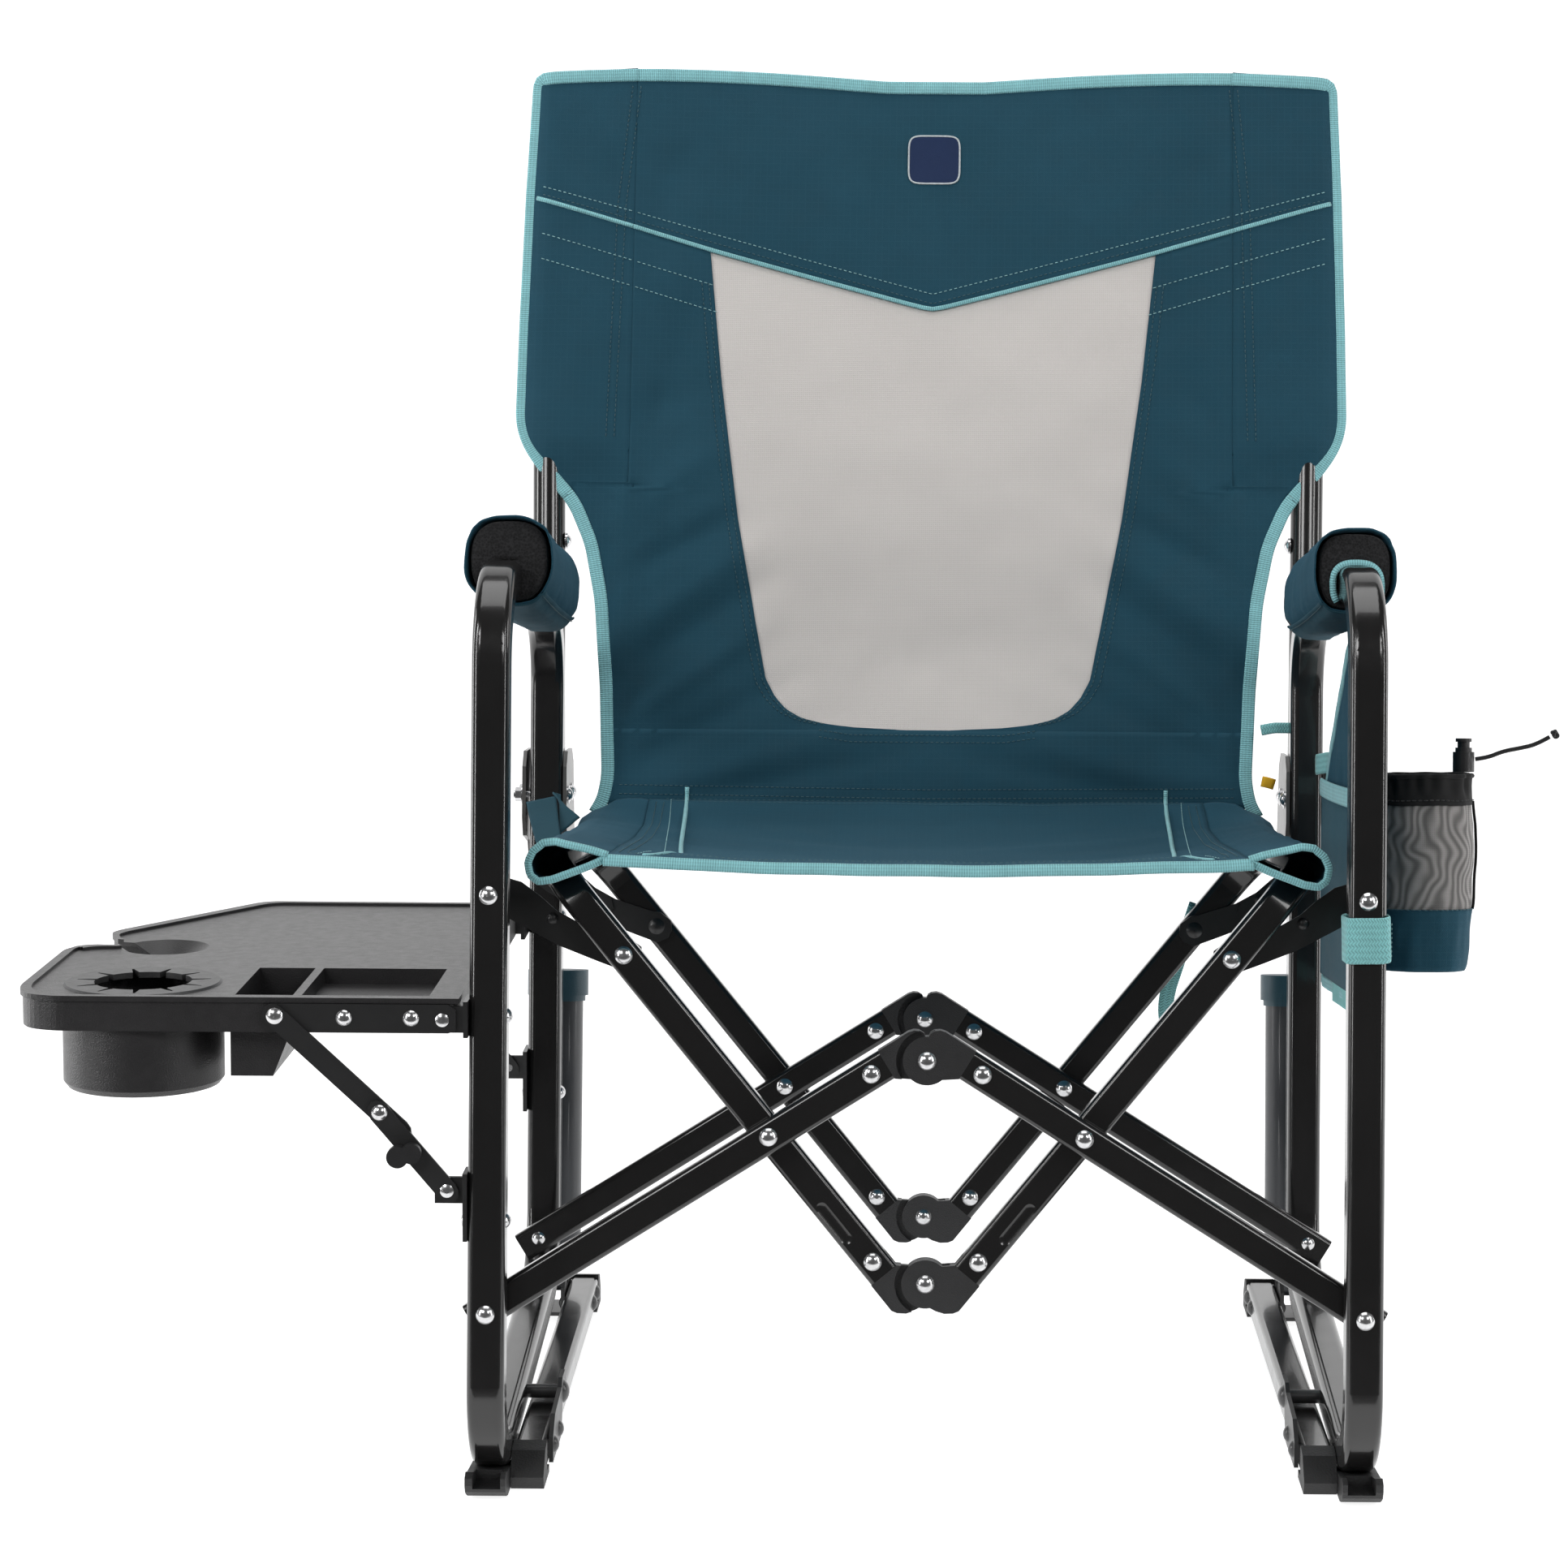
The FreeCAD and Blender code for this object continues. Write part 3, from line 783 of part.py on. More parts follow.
pouch_i.setExpression("Radius1", "dims.pouch_base_radius - 2")
pouch_i.setExpression("Radius2", "dims.pouch_radius - 2")
pouch_i.setExpression("Height", "dims.pouch_tall")
pouch_i.Placement = Placement(V(D["pouch_x"], D["pouch_y"], D["pouch_bottom_z"] + 2.5), Rotation())
node("drink_pouch", cut(pouch_o, [pouch_i], "drink_pouch"), LEAN)
strap_ring = cut(box(279.4, -16.0, 371, 312.0, 17.6, 402), [box(282.6, -13.0, 370, 308.6, 15.6, 403)], "leg_strap")
node("leg_strap", strap_ring, LEAN)

# cord lock, elastic cord and its knot at the mouth of the pouch
px_, py_, pz_ = D["pouch_x"], D["pouch_y"], D["pouch_bottom_z"] + D["pouch_tall"]
lock_c = V(374, 96, 506.8)
lock = fuse([cyl(lock_c - V(0, 0, 9), Z, 7.5, 14), cyl(lock_c + V(0, 0, 5), Z, 5.8, 3.0)], "cord_lock_body")
node("cord_lock", cut(lock, [cyl(lock_c - X * 12, X, 1.9, 24), cyl(lock_c + V(0, 0, 2.5), Z, 4.4, 8)], "cord_lock"), LEAN)
node("cord_lock_plunger", fuse([cyl(lock_c + V(0, 0, 6.0), Z, 4.3, 7.5), cyl(lock_c + V(0, 0, 12.0), Z, 5.6, 2.5)], "plunger"), LEAN)
route = [V(382.2, 96.0, 506.8), V(391.0, 95.4, 508.0), V(401.0, 94.6, 512.4), V(413.5, 94.4, 514.8), V(424.5, 93.4, 517.4), V(433.5, 92.0, 522.8)]
radii = [0] * len(route)
for i in range(1, len(route) - 1):
    u, w = route[i - 1] - route[i], route[i + 1] - route[i]
    turn = math.pi - u.getAngle(w)
    radii[i] = 0.45 * min(u.Length, w.Length) / math.tan(turn / 2)
print("cord radii", [round(r, 1) for r in radii[1:-1]])
cpath = arc_path(route, radii)
crad = D["cord_diameter"] / 2
csec = Part.Wire([Part.makeCircle(crad, route[0], (route[1] - route[0]))])
cord = sweep(cpath, csec, "drawcord")
node("drawcord", cord, LEAN)
kd = (route[-1] - route[-2]).normalize()
knot = doc.addObject("Part::Sphere", nm("cord_knot"))
knot.Radius = 4.2
knot.Placement = Placement(route[-1] + kd * 4.15, Rotation())
node("cord_knot", knot, LEAN)

# -------------------------------------------------------------------- placements, checks and export
doc.recompute()
for name, (obj, frame) in nodes.items():
    if obj.TypeId == "Part::Feature":
        obj.Placement = frame.multiply(obj.Placement)
    else:
        obj.Placement = frame.multiply(obj.Placement) if obj.TypeId.startswith(("Part::Sphere", "Part::Cylinder", "Part::Box", "Part::Cone")) else frame
doc.recompute()
bad = []
for o in doc.Objects:
    if any(s in ("Invalid", "Error") for s in o.State):
        bad.append((o.Name, o.Label, o.State))
for name, (obj, frame) in nodes.items():
    s = obj.Shape
    if s.isNull() or not s.isValid() or not s.Solids:
        bad.append((name, "shape"))
print("cord volume", round(cord.Shape.Volume, 1), "section x length", round(math.pi * crad ** 2 * cpath.Length, 1), "length", round(cpath.Length, 1))
if bad:
    raise RuntimeError("failed objects: %s" % bad)
os.makedirs("parts", exist_ok=True)
for f in os.listdir("parts"):
    if f.endswith(".step"):
        os.remove(os.path.join("parts", f))
lo, hi = V(1e9, 1e9, 1e9), V(-1e9, -1e9, -1e9)
for name, (obj, frame) in sorted(nodes.items()):
    obj.Shape.exportStep("parts/%s.step" % name)
    b = obj.Shape.BoundBox
    print("%-26s solids %2d vol %9.0f  x %7.1f %7.1f  y %7.1f %7.1f  z %7.1f %7.1f" % (name, len(obj.Shape.Solids), obj.Shape.Volume, b.XMin, b.XMax, b.YMin, b.YMax, b.ZMin, b.ZMax))
    if name not in ("drawcord", "cord_knot"):
        lo = V(min(lo.x, b.XMin), min(lo.y, b.YMin), min(lo.z, b.ZMin))
        hi = V(max(hi.x, b.XMax), max(hi.y, b.YMax), max(hi.z, b.ZMax))
print("nodes", len(nodes), "box", lo, hi, "centre", (lo + hi) * 0.5)
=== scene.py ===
"""Folding camp rocking chair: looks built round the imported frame. Lengths in the helper F() are millimetres of the leaning side frames."""
import math
import json

import bpy
import bmesh
from mathutils import Vector, Matrix, noise


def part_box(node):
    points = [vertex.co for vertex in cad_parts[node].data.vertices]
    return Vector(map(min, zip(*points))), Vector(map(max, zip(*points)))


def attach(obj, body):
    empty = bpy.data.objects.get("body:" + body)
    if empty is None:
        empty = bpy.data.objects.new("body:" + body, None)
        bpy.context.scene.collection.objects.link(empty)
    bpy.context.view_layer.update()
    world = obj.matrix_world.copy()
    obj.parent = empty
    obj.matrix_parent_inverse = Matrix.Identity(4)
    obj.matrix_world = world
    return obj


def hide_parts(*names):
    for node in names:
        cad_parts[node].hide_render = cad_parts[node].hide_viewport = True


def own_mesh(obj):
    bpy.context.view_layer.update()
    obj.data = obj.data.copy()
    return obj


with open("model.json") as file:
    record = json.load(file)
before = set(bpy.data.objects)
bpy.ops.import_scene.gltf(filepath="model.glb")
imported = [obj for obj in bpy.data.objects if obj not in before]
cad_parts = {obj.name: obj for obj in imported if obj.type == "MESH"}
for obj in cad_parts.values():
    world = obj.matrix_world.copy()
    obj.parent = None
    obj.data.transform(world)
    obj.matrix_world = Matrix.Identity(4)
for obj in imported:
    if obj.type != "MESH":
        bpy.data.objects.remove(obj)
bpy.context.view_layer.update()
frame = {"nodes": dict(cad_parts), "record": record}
NODES = frame["nodes"]

SX, SY = 117.0, -320.4
LEAN = math.radians(6.5)
ST, CT = math.sin(LEAN), math.cos(LEAN)
TB = math.tan(math.radians(8.0))


def F(x, y, z):
    """Millimetres in the leaning frame to metres in the row frame."""
    return Vector(((x + SX) / 1000, (y * CT + z * ST + SY) / 1000, (-y * ST + z * CT) / 1000))


def FD(x, y, z):
    return Vector((x, y * CT + z * ST, -y * ST + z * CT)).normalized()


def lerp(a, b, t):
    return a + (b - a) * t


def clamp(v, lo=0.0, hi=1.0):
    return max(lo, min(hi, v))


def smooth(t):
    t = clamp(t)
    return t * t * (3 - 2 * t)


def table(points):
    """Piecewise linear look-up."""
    def f(v):
        if v <= points[0][0]:
            return points[0][1]
        for (a, b), (c, d) in zip(points, points[1:]):
            if v <= c:
                return lerp(b, d, (v - a) / (c - a))
        return points[-1][1]
    return f


def soft_table(points, r):
    raw = table(points)
    return lambda v: sum(raw(v + r * k) for k in (-1.0, -0.5, 0.0, 0.5, 1.0)) / 5.0


# ------------------------------------------------------------------ materials
def new_mat(name):
    m = bpy.data.materials.new(name)
    m.use_nodes = True
    nt = m.node_tree
    return m, nt, nt.nodes["Principled BSDF"]


def N(nt, kind, **kw):
    n = nt.nodes.new(kind)
    for k, v in kw.items():
        if k in n.inputs:
            n.inputs[k].default_value = v
        else:
            setattr(n, k, v)
    return n


def math_node(nt, op, a, b=None, c=None):
    n = nt.nodes.new("ShaderNodeMath")
    n.operation = op
    for i, v in enumerate((a, b, c)):
        if v is None:
            continue
        if isinstance(v, (int, float)):
            n.inputs[i].default_value = v
        else:
            nt.links.new(v, n.inputs[i])
    return n.outputs[0]


def ramp(nt, src, stops):
    r = nt.nodes.new("ShaderNodeValToRGB")
    e = r.color_ramp.elements
    while len(e) < len(stops):
        e.new(0.5)
    for el, (p, c) in zip(e, stops):
        el.position = p
        el.color = (c[0], c[1], c[2], 1)
    nt.links.new(src, r.inputs[0])
    return r.outputs[0]


def noise_tex(nt, coord, scale, detail=3.0, rough=0.55, distortion=0.0):
    n = nt.nodes.new("ShaderNodeTexNoise")
    n.inputs["Scale"].default_value = scale
    n.inputs["Detail"].default_value = detail
    n.inputs["Roughness"].default_value = rough
    n.inputs["Distortion"].default_value = distortion
    nt.links.new(coord, n.inputs["Vector"])
    return n.outputs["Fac"]


def bump(nt, bs, height, strength, distance, after=None):
    b = nt.nodes.new("ShaderNodeBump")
    b.inputs["Strength"].default_value = strength
    b.inputs["Distance"].default_value = distance
    nt.links.new(height, b.inputs["Height"])
    if after is not None:
        nt.links.new(after, b.inputs["Normal"])
    nt.links.new(b.outputs[0], bs.inputs["Normal"])
    return b.outputs[0]


def paint(name, col, rough, coat=0.0, peel=0.08, dust=0.04, spec=0.5, coat_rough=0.06):
    m, nt, bs = new_mat(name)
    co = nt.nodes.new("ShaderNodeTexCoord").outputs["Object"]
    big = noise_tex(nt, co, 9.0, 4.0)
    fine = noise_tex(nt, co, 520.0, 3.0)
    lo = [c * (1 - dust) for c in col]
    hi = [min(1, c * (1 + 5 * dust) + dust * 0.06) for c in col]
    nt.links.new(ramp(nt, big, [(0.25, lo), (0.8, hi)]), bs.inputs["Base Color"])
    r = math_node(nt, "MULTIPLY_ADD", noise_tex(nt, co, 60.0, 5.0), 0.14, rough - 0.07)
    nt.links.new(r, bs.inputs["Roughness"])
    bs.inputs["Specular IOR Level"].default_value = spec
    bs.inputs["Coat Weight"].default_value = coat
    bs.inputs["Coat Roughness"].default_value = coat_rough
    bump(nt, bs, fine, peel, 0.0006)
    return m


def steel(name, col=(0.62, 0.62, 0.63), rough=0.2):
    m, nt, bs = new_mat(name)
    co = nt.nodes.new("ShaderNodeTexCoord").outputs["Object"]
    n1 = noise_tex(nt, co, 240.0, 4.0)
    nt.links.new(ramp(nt, n1, [(0.2, [c * 0.82 for c in col]), (0.8, [min(1, c * 1.12) for c in col])]), bs.inputs["Base Color"])
    nt.links.new(math_node(nt, "MULTIPLY_ADD", noise_tex(nt, co, 900.0, 3.0), 0.16, rough - 0.06), bs.inputs["Roughness"])
    bs.inputs["Metallic"].default_value = 1.0
    bump(nt, bs, noise_tex(nt, co, 700.0, 2.0), 0.05, 0.0004)
    return m


def plastic(name, col, rough=0.5, grain=0.35, grain_scale=900.0, spec=0.5):
    m, nt, bs = new_mat(name)
    co = nt.nodes.new("ShaderNodeTexCoord").outputs["Object"]
    big = noise_tex(nt, co, 14.0, 4.0)
    nt.links.new(ramp(nt, big, [(0.25, [c * 0.86 for c in col]), (0.8, [min(1, c * 1.16) for c in col])]), bs.inputs["Base Color"])
    v = nt.nodes.new("ShaderNodeTexVoronoi")
    v.inputs["Scale"].default_value = grain_scale
    nt.links.new(co, v.inputs["Vector"])
    nt.links.new(math_node(nt, "MULTIPLY_ADD", noise_tex(nt, co, 120.0, 4.0), 0.16, rough - 0.08), bs.inputs["Roughness"])
    bs.inputs["Specular IOR Level"].default_value = spec
    bump(nt, bs, v.outputs["Distance"], grain, 0.0004)
    return m


def cells(nt, val, pitch, width):
    """1 on a thin line every pitch, 0 elsewhere."""
    a = math_node(nt, "DIVIDE", val, pitch)
    f = math_node(nt, "FRACT", a)
    return math_node(nt, "LESS_THAN", f, width)


def fabric(name, col, vary=0.12, weave=0.0011, rip=0.0052, weave_bump=0.35, rough=0.82, sheen=0.25, rip_amount=0.05, sheen_tint=None, scuff=0.35):
    m, nt, bs = new_mat(name)
    tc = nt.nodes.new("ShaderNodeTexCoord")
    uv, ob = tc.outputs["UV"], tc.outputs["Object"]
    sep = nt.nodes.new("ShaderNodeSeparateXYZ")
    nt.links.new(uv, sep.inputs[0])
    u, v = sep.outputs["X"], sep.outputs["Y"]
    wu = math_node(nt, "SINE", math_node(nt, "MULTIPLY", u, 2 * math.pi / weave))
    wv = math_node(nt, "SINE", math_node(nt, "MULTIPLY", v, 2 * math.pi / weave))
    w = math_node(nt, "MULTIPLY", wu, wv)
    big = noise_tex(nt, ob, 5.0, 5.0, 0.6)
    mid = noise_tex(nt, ob, 45.0, 4.0, 0.65)
    mixn = math_node(nt, "ADD", math_node(nt, "MULTIPLY", big, 0.65), math_node(nt, "MULTIPLY", mid, 0.35))
    basec = ramp(nt, mixn, [(0.28, [c * (1 - vary) for c in col]), (0.5, col), (0.74, [min(1, c * (1 + vary * 1.3) + 0.004) for c in col])])
    height = w
    if rip:
        line = math_node(nt, "MAXIMUM", cells(nt, u, rip, 0.14), cells(nt, v, rip, 0.14))
        # painted highlight: the raised ripstop lines are mixed towards a lighter colour, after the same line mask that
        # raises them in the bump
        mx = nt.nodes.new("ShaderNodeMix")
        mx.data_type = "RGBA"
        mx.inputs["B"].default_value = (min(1, col[0] * 1.5 + 0.01), min(1, col[1] * 1.35 + 0.01), min(1, col[2] * 1.3 + 0.01), 1)
        nt.links.new(math_node(nt, "MULTIPLY", line, rip_amount * 4), mx.inputs["Factor"])
        nt.links.new(basec, mx.inputs["A"])
        basec = mx.outputs["Result"]
        height = math_node(nt, "ADD", w, math_node(nt, "MULTIPLY", line, 1.2))
    # painted shade and highlight: the weave colour is darkened where the weave height is low, between the threads, and
    # lightened on the high crests, after the same height that drives the bump
    thr = nt.nodes.new("ShaderNodeMix")
    thr.data_type = "RGBA"
    thr.blend_type = "MULTIPLY"
    thr.inputs["Factor"].default_value = 1.0
    nt.links.new(basec, thr.inputs["A"])
    nt.links.new(ramp(nt, math_node(nt, "MULTIPLY_ADD", w, 0.5, 0.5), [(0.0, (0.86, 0.86, 0.86)), (1.0, (1.08, 1.08, 1.08))]), thr.inputs["B"])
    nt.links.new(thr.outputs["Result"], bs.inputs["Base Color"])
    nt.links.new(math_node(nt, "MULTIPLY_ADD", mid, 0.2, rough - 0.1), bs.inputs["Roughness"])
    bs.inputs["Sheen Weight"].default_value = sheen
    bs.inputs["Sheen Roughness"].default_value = 0.45
    bs.inputs["Sheen Tint"].default_value = (*(sheen_tint or [min(1, c * 3 + 0.1) for c in col]), 1)
    bs.inputs["Specular IOR Level"].default_value = 0.3
    b1 = bump(nt, bs, noise_tex(nt, ob, 26.0, 5.0, 0.6), scuff, 0.0022)
    bump(nt, bs, height, weave_bump, 0.00025, after=b1)
    return m


def webbing(name, col, pitch=0.0017, across=0.0026, zig=0.0, vary=0.12):
    """Ribbed ribbon: ribs across its length, from UV in metres (U along, V across)."""
    m, nt, bs = new_mat(name)
    tc = nt.nodes.new("ShaderNodeTexCoord")
    sep = nt.nodes.new("ShaderNodeSeparateXYZ")
    nt.links.new(tc.outputs["UV"], sep.inputs[0])
    u, v = sep.outputs["X"], sep.outputs["Y"]
    if zig:
        tri = math_node(nt, "PINGPONG", v, zig)
        u = math_node(nt, "ADD", u, math_node(nt, "MULTIPLY", tri, 0.8))
    ribs = math_node(nt, "SINE", math_node(nt, "MULTIPLY", u, 2 * math.pi / pitch))
    thr = math_node(nt, "SINE", math_node(nt, "MULTIPLY", v, 2 * math.pi / across))
    h = math_node(nt, "ADD", ribs, math_node(nt, "MULTIPLY", thr, 0.35))
    k = math_node(nt, "MULTIPLY_ADD", h, 0.37, 0.5)
    # painted shade and highlight: rib valleys painted darker and rib crests lighter, after the same height h that
    # drives the bump
    c0 = ramp(nt, k, [(0.0, [c * 0.62 for c in col]), (0.45, [c * 0.95 for c in col]), (1.0, [min(1, c * 1.14 + 0.01) for c in col])])
    ob = tc.outputs["Object"]
    mx = nt.nodes.new("ShaderNodeMix")
    mx.data_type = "RGBA"
    mx.blend_type = "MULTIPLY"
    mx.inputs["Factor"].default_value = 1.0
    nt.links.new(c0, mx.inputs["A"])
    nt.links.new(ramp(nt, noise_tex(nt, ob, 70.0, 4.0), [(0.25, (1 - vary, 1 - vary, 1 - vary)), (0.75, (1 + vary * 0.6,) * 3)]), mx.inputs["B"])
    nt.links.new(mx.outputs["Result"], bs.inputs["Base Color"])
    bs.inputs["Roughness"].default_value = 0.72
    bs.inputs["Sheen Weight"].default_value = 0.25
    bs.inputs["Sheen Roughness"].default_value = 0.4
    bs.inputs["Specular IOR Level"].default_value = 0.35
    bump(nt, bs, h, 0.55, 0.0004)
    return m


def thread(name, col):
    m, nt, bs = new_mat(name)
    co = nt.nodes.new("ShaderNodeTexCoord").outputs["Object"]
    nt.links.new(ramp(nt, noise_tex(nt, co, 400.0, 2.0), [(0.2, [c * 0.75 for c in col]), (0.8, [min(1, c * 1.15) for c in col])]), bs.inputs["Base Color"])
    bs.inputs["Roughness"].default_value = 0.6
    bs.inputs["Sheen Weight"].default_value = 0.2
    bump(nt, bs, noise_tex(nt, co, 1500.0, 2.0), 0.3, 0.0002)
    return m


def foam(name, col):
    m, nt, bs = new_mat(name)
    co = nt.nodes.new("ShaderNodeTexCoord").outputs["Object"]
    v = nt.nodes.new("ShaderNodeTexVoronoi")
    v.inputs["Scale"].default_value = 620.0
    nt.links.new(co, v.inputs["Vector"])
    # painted shade: the hollow centres of the foam cells are painted darker and the cell walls lighter, after the same
    # Voronoi distance that drives the bump
    nt.links.new(ramp(nt, v.outputs["Distance"], [(0.0, [c * 0.35 for c in col]), (0.5, col), (0.9, [c * 1.6 for c in col])]), bs.inputs["Base Color"])
    bs.inputs["Roughness"].default_value = 0.95
    bs.inputs["Specular IOR Level"].default_value = 0.2
    bs.inputs["Sheen Weight"].default_value = 0.15
    b1 = bump(nt, bs, noise_tex(nt, co, 160.0, 5.0, 0.7), 0.6, 0.0012)
    bump(nt, bs, v.outputs["Distance"], 0.7, 0.0007, after=b1)
    return m


def net(name, dark, light, pitch, alpha, moire=True):
    m, nt, bs = new_mat(name)
    tc = nt.nodes.new("ShaderNodeTexCoord")
    sep = nt.nodes.new("ShaderNodeSeparateXYZ")
    nt.links.new(tc.outputs["UV"], sep.inputs[0])
    u, v = sep.outputs["X"], sep.outputs["Y"]
    wu = math_node(nt, "SINE", math_node(nt, "MULTIPLY", u, 2 * math.pi / pitch))
    wv = math_node(nt, "SINE", math_node(nt, "MULTIPLY", v, 2 * math.pi / pitch))
    w = math_node(nt, "MAXIMUM", wu, wv)
    k = math_node(nt, "MULTIPLY_ADD", w, 0.18, 0.5)
    if moire:
        wt = nt.nodes.new("ShaderNodeTexWave")
        wt.inputs["Scale"].default_value = 44.0
        wt.inputs["Distortion"].default_value = 19.0
        wt.inputs["Detail"].default_value = 1.0
        wt.inputs["Detail Scale"].default_value = 0.7
        nt.links.new(tc.outputs["Object"], wt.inputs["Vector"])
        k = math_node(nt, "ADD", math_node(nt, "MULTIPLY", k, 0.55), math_node(nt, "MULTIPLY", wt.outputs["Fac"], 0.45))
    else:
        k = math_node(nt, "ADD", math_node(nt, "MULTIPLY", k, 0.6), math_node(nt, "MULTIPLY", noise_tex(nt, tc.outputs["Object"], 6.0, 4.0), 0.4))
    # painted shade: the openings between the threads run towards the dark colour and the threads towards the light one,
    # after the same height that drives the bump; the wave and noise mixed in are tone pattern
    nt.links.new(ramp(nt, k, [(0.15, dark), (0.8, light)]), bs.inputs["Base Color"])
    bs.inputs["Roughness"].default_value = 0.75
    bs.inputs["Alpha"].default_value = alpha
    bs.inputs["Sheen Weight"].default_value = 0.1
    bs.inputs["Specular IOR Level"].default_value = 0.3
    bump(nt, bs, w, 0.35, 0.0003)
    return m


TEAL = (0.0082, 0.060, 0.095)
TURQ = (0.255, 0.57, 0.61)
MAT = {
    "frame_black": paint("frame_black", (0.0075, 0.0072, 0.0072), 0.2, coat=0.4, peel=0.04),
    "plate_black": paint("plate_black", (0.009, 0.009, 0.0093), 0.4, coat=0.1, peel=0.12),
    "strut_black": paint("strut_black", (0.016, 0.016, 0.0165), 0.36, coat=0.2, peel=0.1),
    "plate_grey": paint("plate_grey", (0.07, 0.068, 0.066), 0.36, coat=0.25, peel=0.1),
    "bolt_black": paint("bolt_black", (0.03, 0.03, 0.031), 0.3, coat=0.2, peel=0.05),
    "spring_grey": paint("spring_grey", (0.026, 0.029, 0.034), 0.42, coat=0.15, peel=0.14),
    "rivet_steel": steel("rivet_steel", (0.66, 0.66, 0.67), 0.2),
    "rod_steel": steel("rod_steel", (0.7, 0.7, 0.72), 0.14),
    "cap_teal": plastic("cap_teal", (0.012, 0.055, 0.078), 0.42, 0.2),
    "shoe_rubber": plastic("shoe_rubber", (0.013, 0.013, 0.0135), 0.55, 0.45, 700.0),
    "knuckle_black": plastic("knuckle_black", (0.02, 0.02, 0.021), 0.48, 0.4, 1100.0),
    "table_grey": plastic("table_grey", (0.022, 0.0212, 0.0222), 0.36, 0.5, 1000.0),
    "ring_rubber": plastic("ring_rubber", (0.03, 0.03, 0.031), 0.42, 0.25, 800.0),
    "lock_plastic": plastic("lock_plastic", (0.018, 0.018, 0.019), 0.38, 0.2, 1200.0),
    "foam_black": foam("foam_black", (0.017, 0.017, 0.018)),
    "fabric_teal": fabric("fabric_teal", TEAL),
    "fabric_teal_dull": fabric("fabric_teal_dull", (0.014, 0.06, 0.085), vary=0.2, rip=0.0, scuff=0.55),
    "fabric_black": fabric("fabric_black", (0.012, 0.012, 0.0125), vary=0.25, rip=0.0, scuff=0.5),
    "binding": webbing("binding", TURQ),
    "strap_turquoise": webbing("strap_turquoise", (0.25, 0.6, 0.61), pitch=0.0021, across=0.0042, zig=0.0021),
    "sheer_turquoise": fabric("sheer_turquoise", (0.2, 0.52, 0.52), rip=0.0, vary=0.15, scuff=0.5),
    "thread_light": thread("thread_light", (0.3, 0.58, 0.6)),
    "thread_dark": thread("thread_dark", (0.02, 0.1, 0.125)),
    "panel_mesh": net("panel_mesh", (0.56, 0.53, 0.51), (0.7, 0.665, 0.64), 0.0016, 1.0, moire=False),
    "pouch_mesh": net("pouch_mesh", (0.075, 0.072, 0.071), (0.38, 0.365, 0.355), 0.0014, 0.86),
    "cord_black": webbing("cord_black", (0.016, 0.016, 0.017), pitch=0.0012, across=0.0012),
    "patch_navy": fabric("patch_navy", (0.012, 0.028, 0.085), weave=0.0008, rip=0.0, vary=0.1),
    "patch_edge": thread("patch_edge", (0.55, 0.6, 0.62)),
    "yellow_tab": fabric("yellow_tab", (0.75, 0.42, 0.02), rip=0.0, vary=0.1),
}
SLOT = {s["node"]: s["material_slot"] for s in frame["record"]["subparts"]}
for name, ob in NODES.items():
    ob.data.materials.clear()
    ob.data.materials.append(MAT.get(SLOT[name], MAT["plate_black"]))


def paint_faces(node, slot, test):
    """Gives the faces of a CAD node that pass the test another finish."""
    ob = NODES[node]
    ob.data.materials.append(MAT[slot])
    k = len(ob.data.materials) - 1
    for p in ob.data.polygons:
        if test(p.center * 1000.0):
            p.material_index = k


def near(points, r):
    def test(c):
        x, z = c.x - SX, c.z
        return any((x - a) ** 2 + (z - b) ** 2 < r * r for a, b in points)
    return test


paint_faces("strut_uppers", "rivet_steel", lambda c: near([(-437.0, 331.0)], 5.9)(c) and (c.y - SY < 15.25 or c.y - SY > 414.75))
paint_faces("strut_lowers", "rivet_steel", lambda c: near([(-367.0, 266.0)], 5.7)(c) and (c.y - SY < 12.85 or c.y - SY > 417.15))

# ------------------------------------------------------------------ mesh helpers


def make(name, verts, faces, mat, uvs=None, smooth_shade=True):
    me = bpy.data.meshes.new(name)
    me.from_pydata([tuple(v) for v in verts], [], faces)
    me.update()
    ob = bpy.data.objects.new(name, me)
    bpy.context.scene.collection.objects.link(ob)
    me.materials.append(MAT[mat])
    if uvs is not None:
        lay = me.uv_layers.new(name="UVMap")
        for lp in me.loops:
            lay.data[lp.index].uv = uvs[lp.vertex_index]
    if smooth_shade:
        for p in me.polygons:
            p.use_smooth = True
    return ob


def grid(rows, closed=False):
    """Faces for a list of equally long rows of vertex indices."""
    f = []
    for a, b in zip(rows, rows[1:]):
        n = len(a)
        for i in range(n if closed else n - 1):
            j = (i + 1) % n
            f.append((a[i], a[j], b[j], b[i]))
    return f


class Build:
    def __init__(self):
        self.v, self.f, self.uv = [], [], []

    def patch(self, nu, nv, fn, flip=False):
        """fn(s, t) gives (point, (u, v)) for s, t in 0..1."""
        base = len(self.v)
        for j in range(nv + 1):
            for i in range(nu + 1):
                p, q = fn(i / nu, j / nv)
                self.v.append(p)
                self.uv.append(q)
        for j in range(nv):
            for i in range(nu):
                a = base + j * (nu + 1) + i
                q = (a, a + 1, a + nu + 2, a + nu + 1)
                self.f.append(q[::-1] if flip else q)
        return self

    def done(self, name, mat, weld=0.0002, thick=None, offset=0.0):
        ob = make(name, self.v, self.f, mat, self.uv)
        if weld:
            bm = bmesh.new()
            bm.from_mesh(ob.data)
            bmesh.ops.remove_doubles(bm, verts=bm.verts, dist=weld)
            bm.to_mesh(ob.data)
            bm.free()
        if thick:
            so = ob.modifiers.new("thickness", "SOLIDIFY")
            so.thickness = thick
            so.offset = offset
        return ob


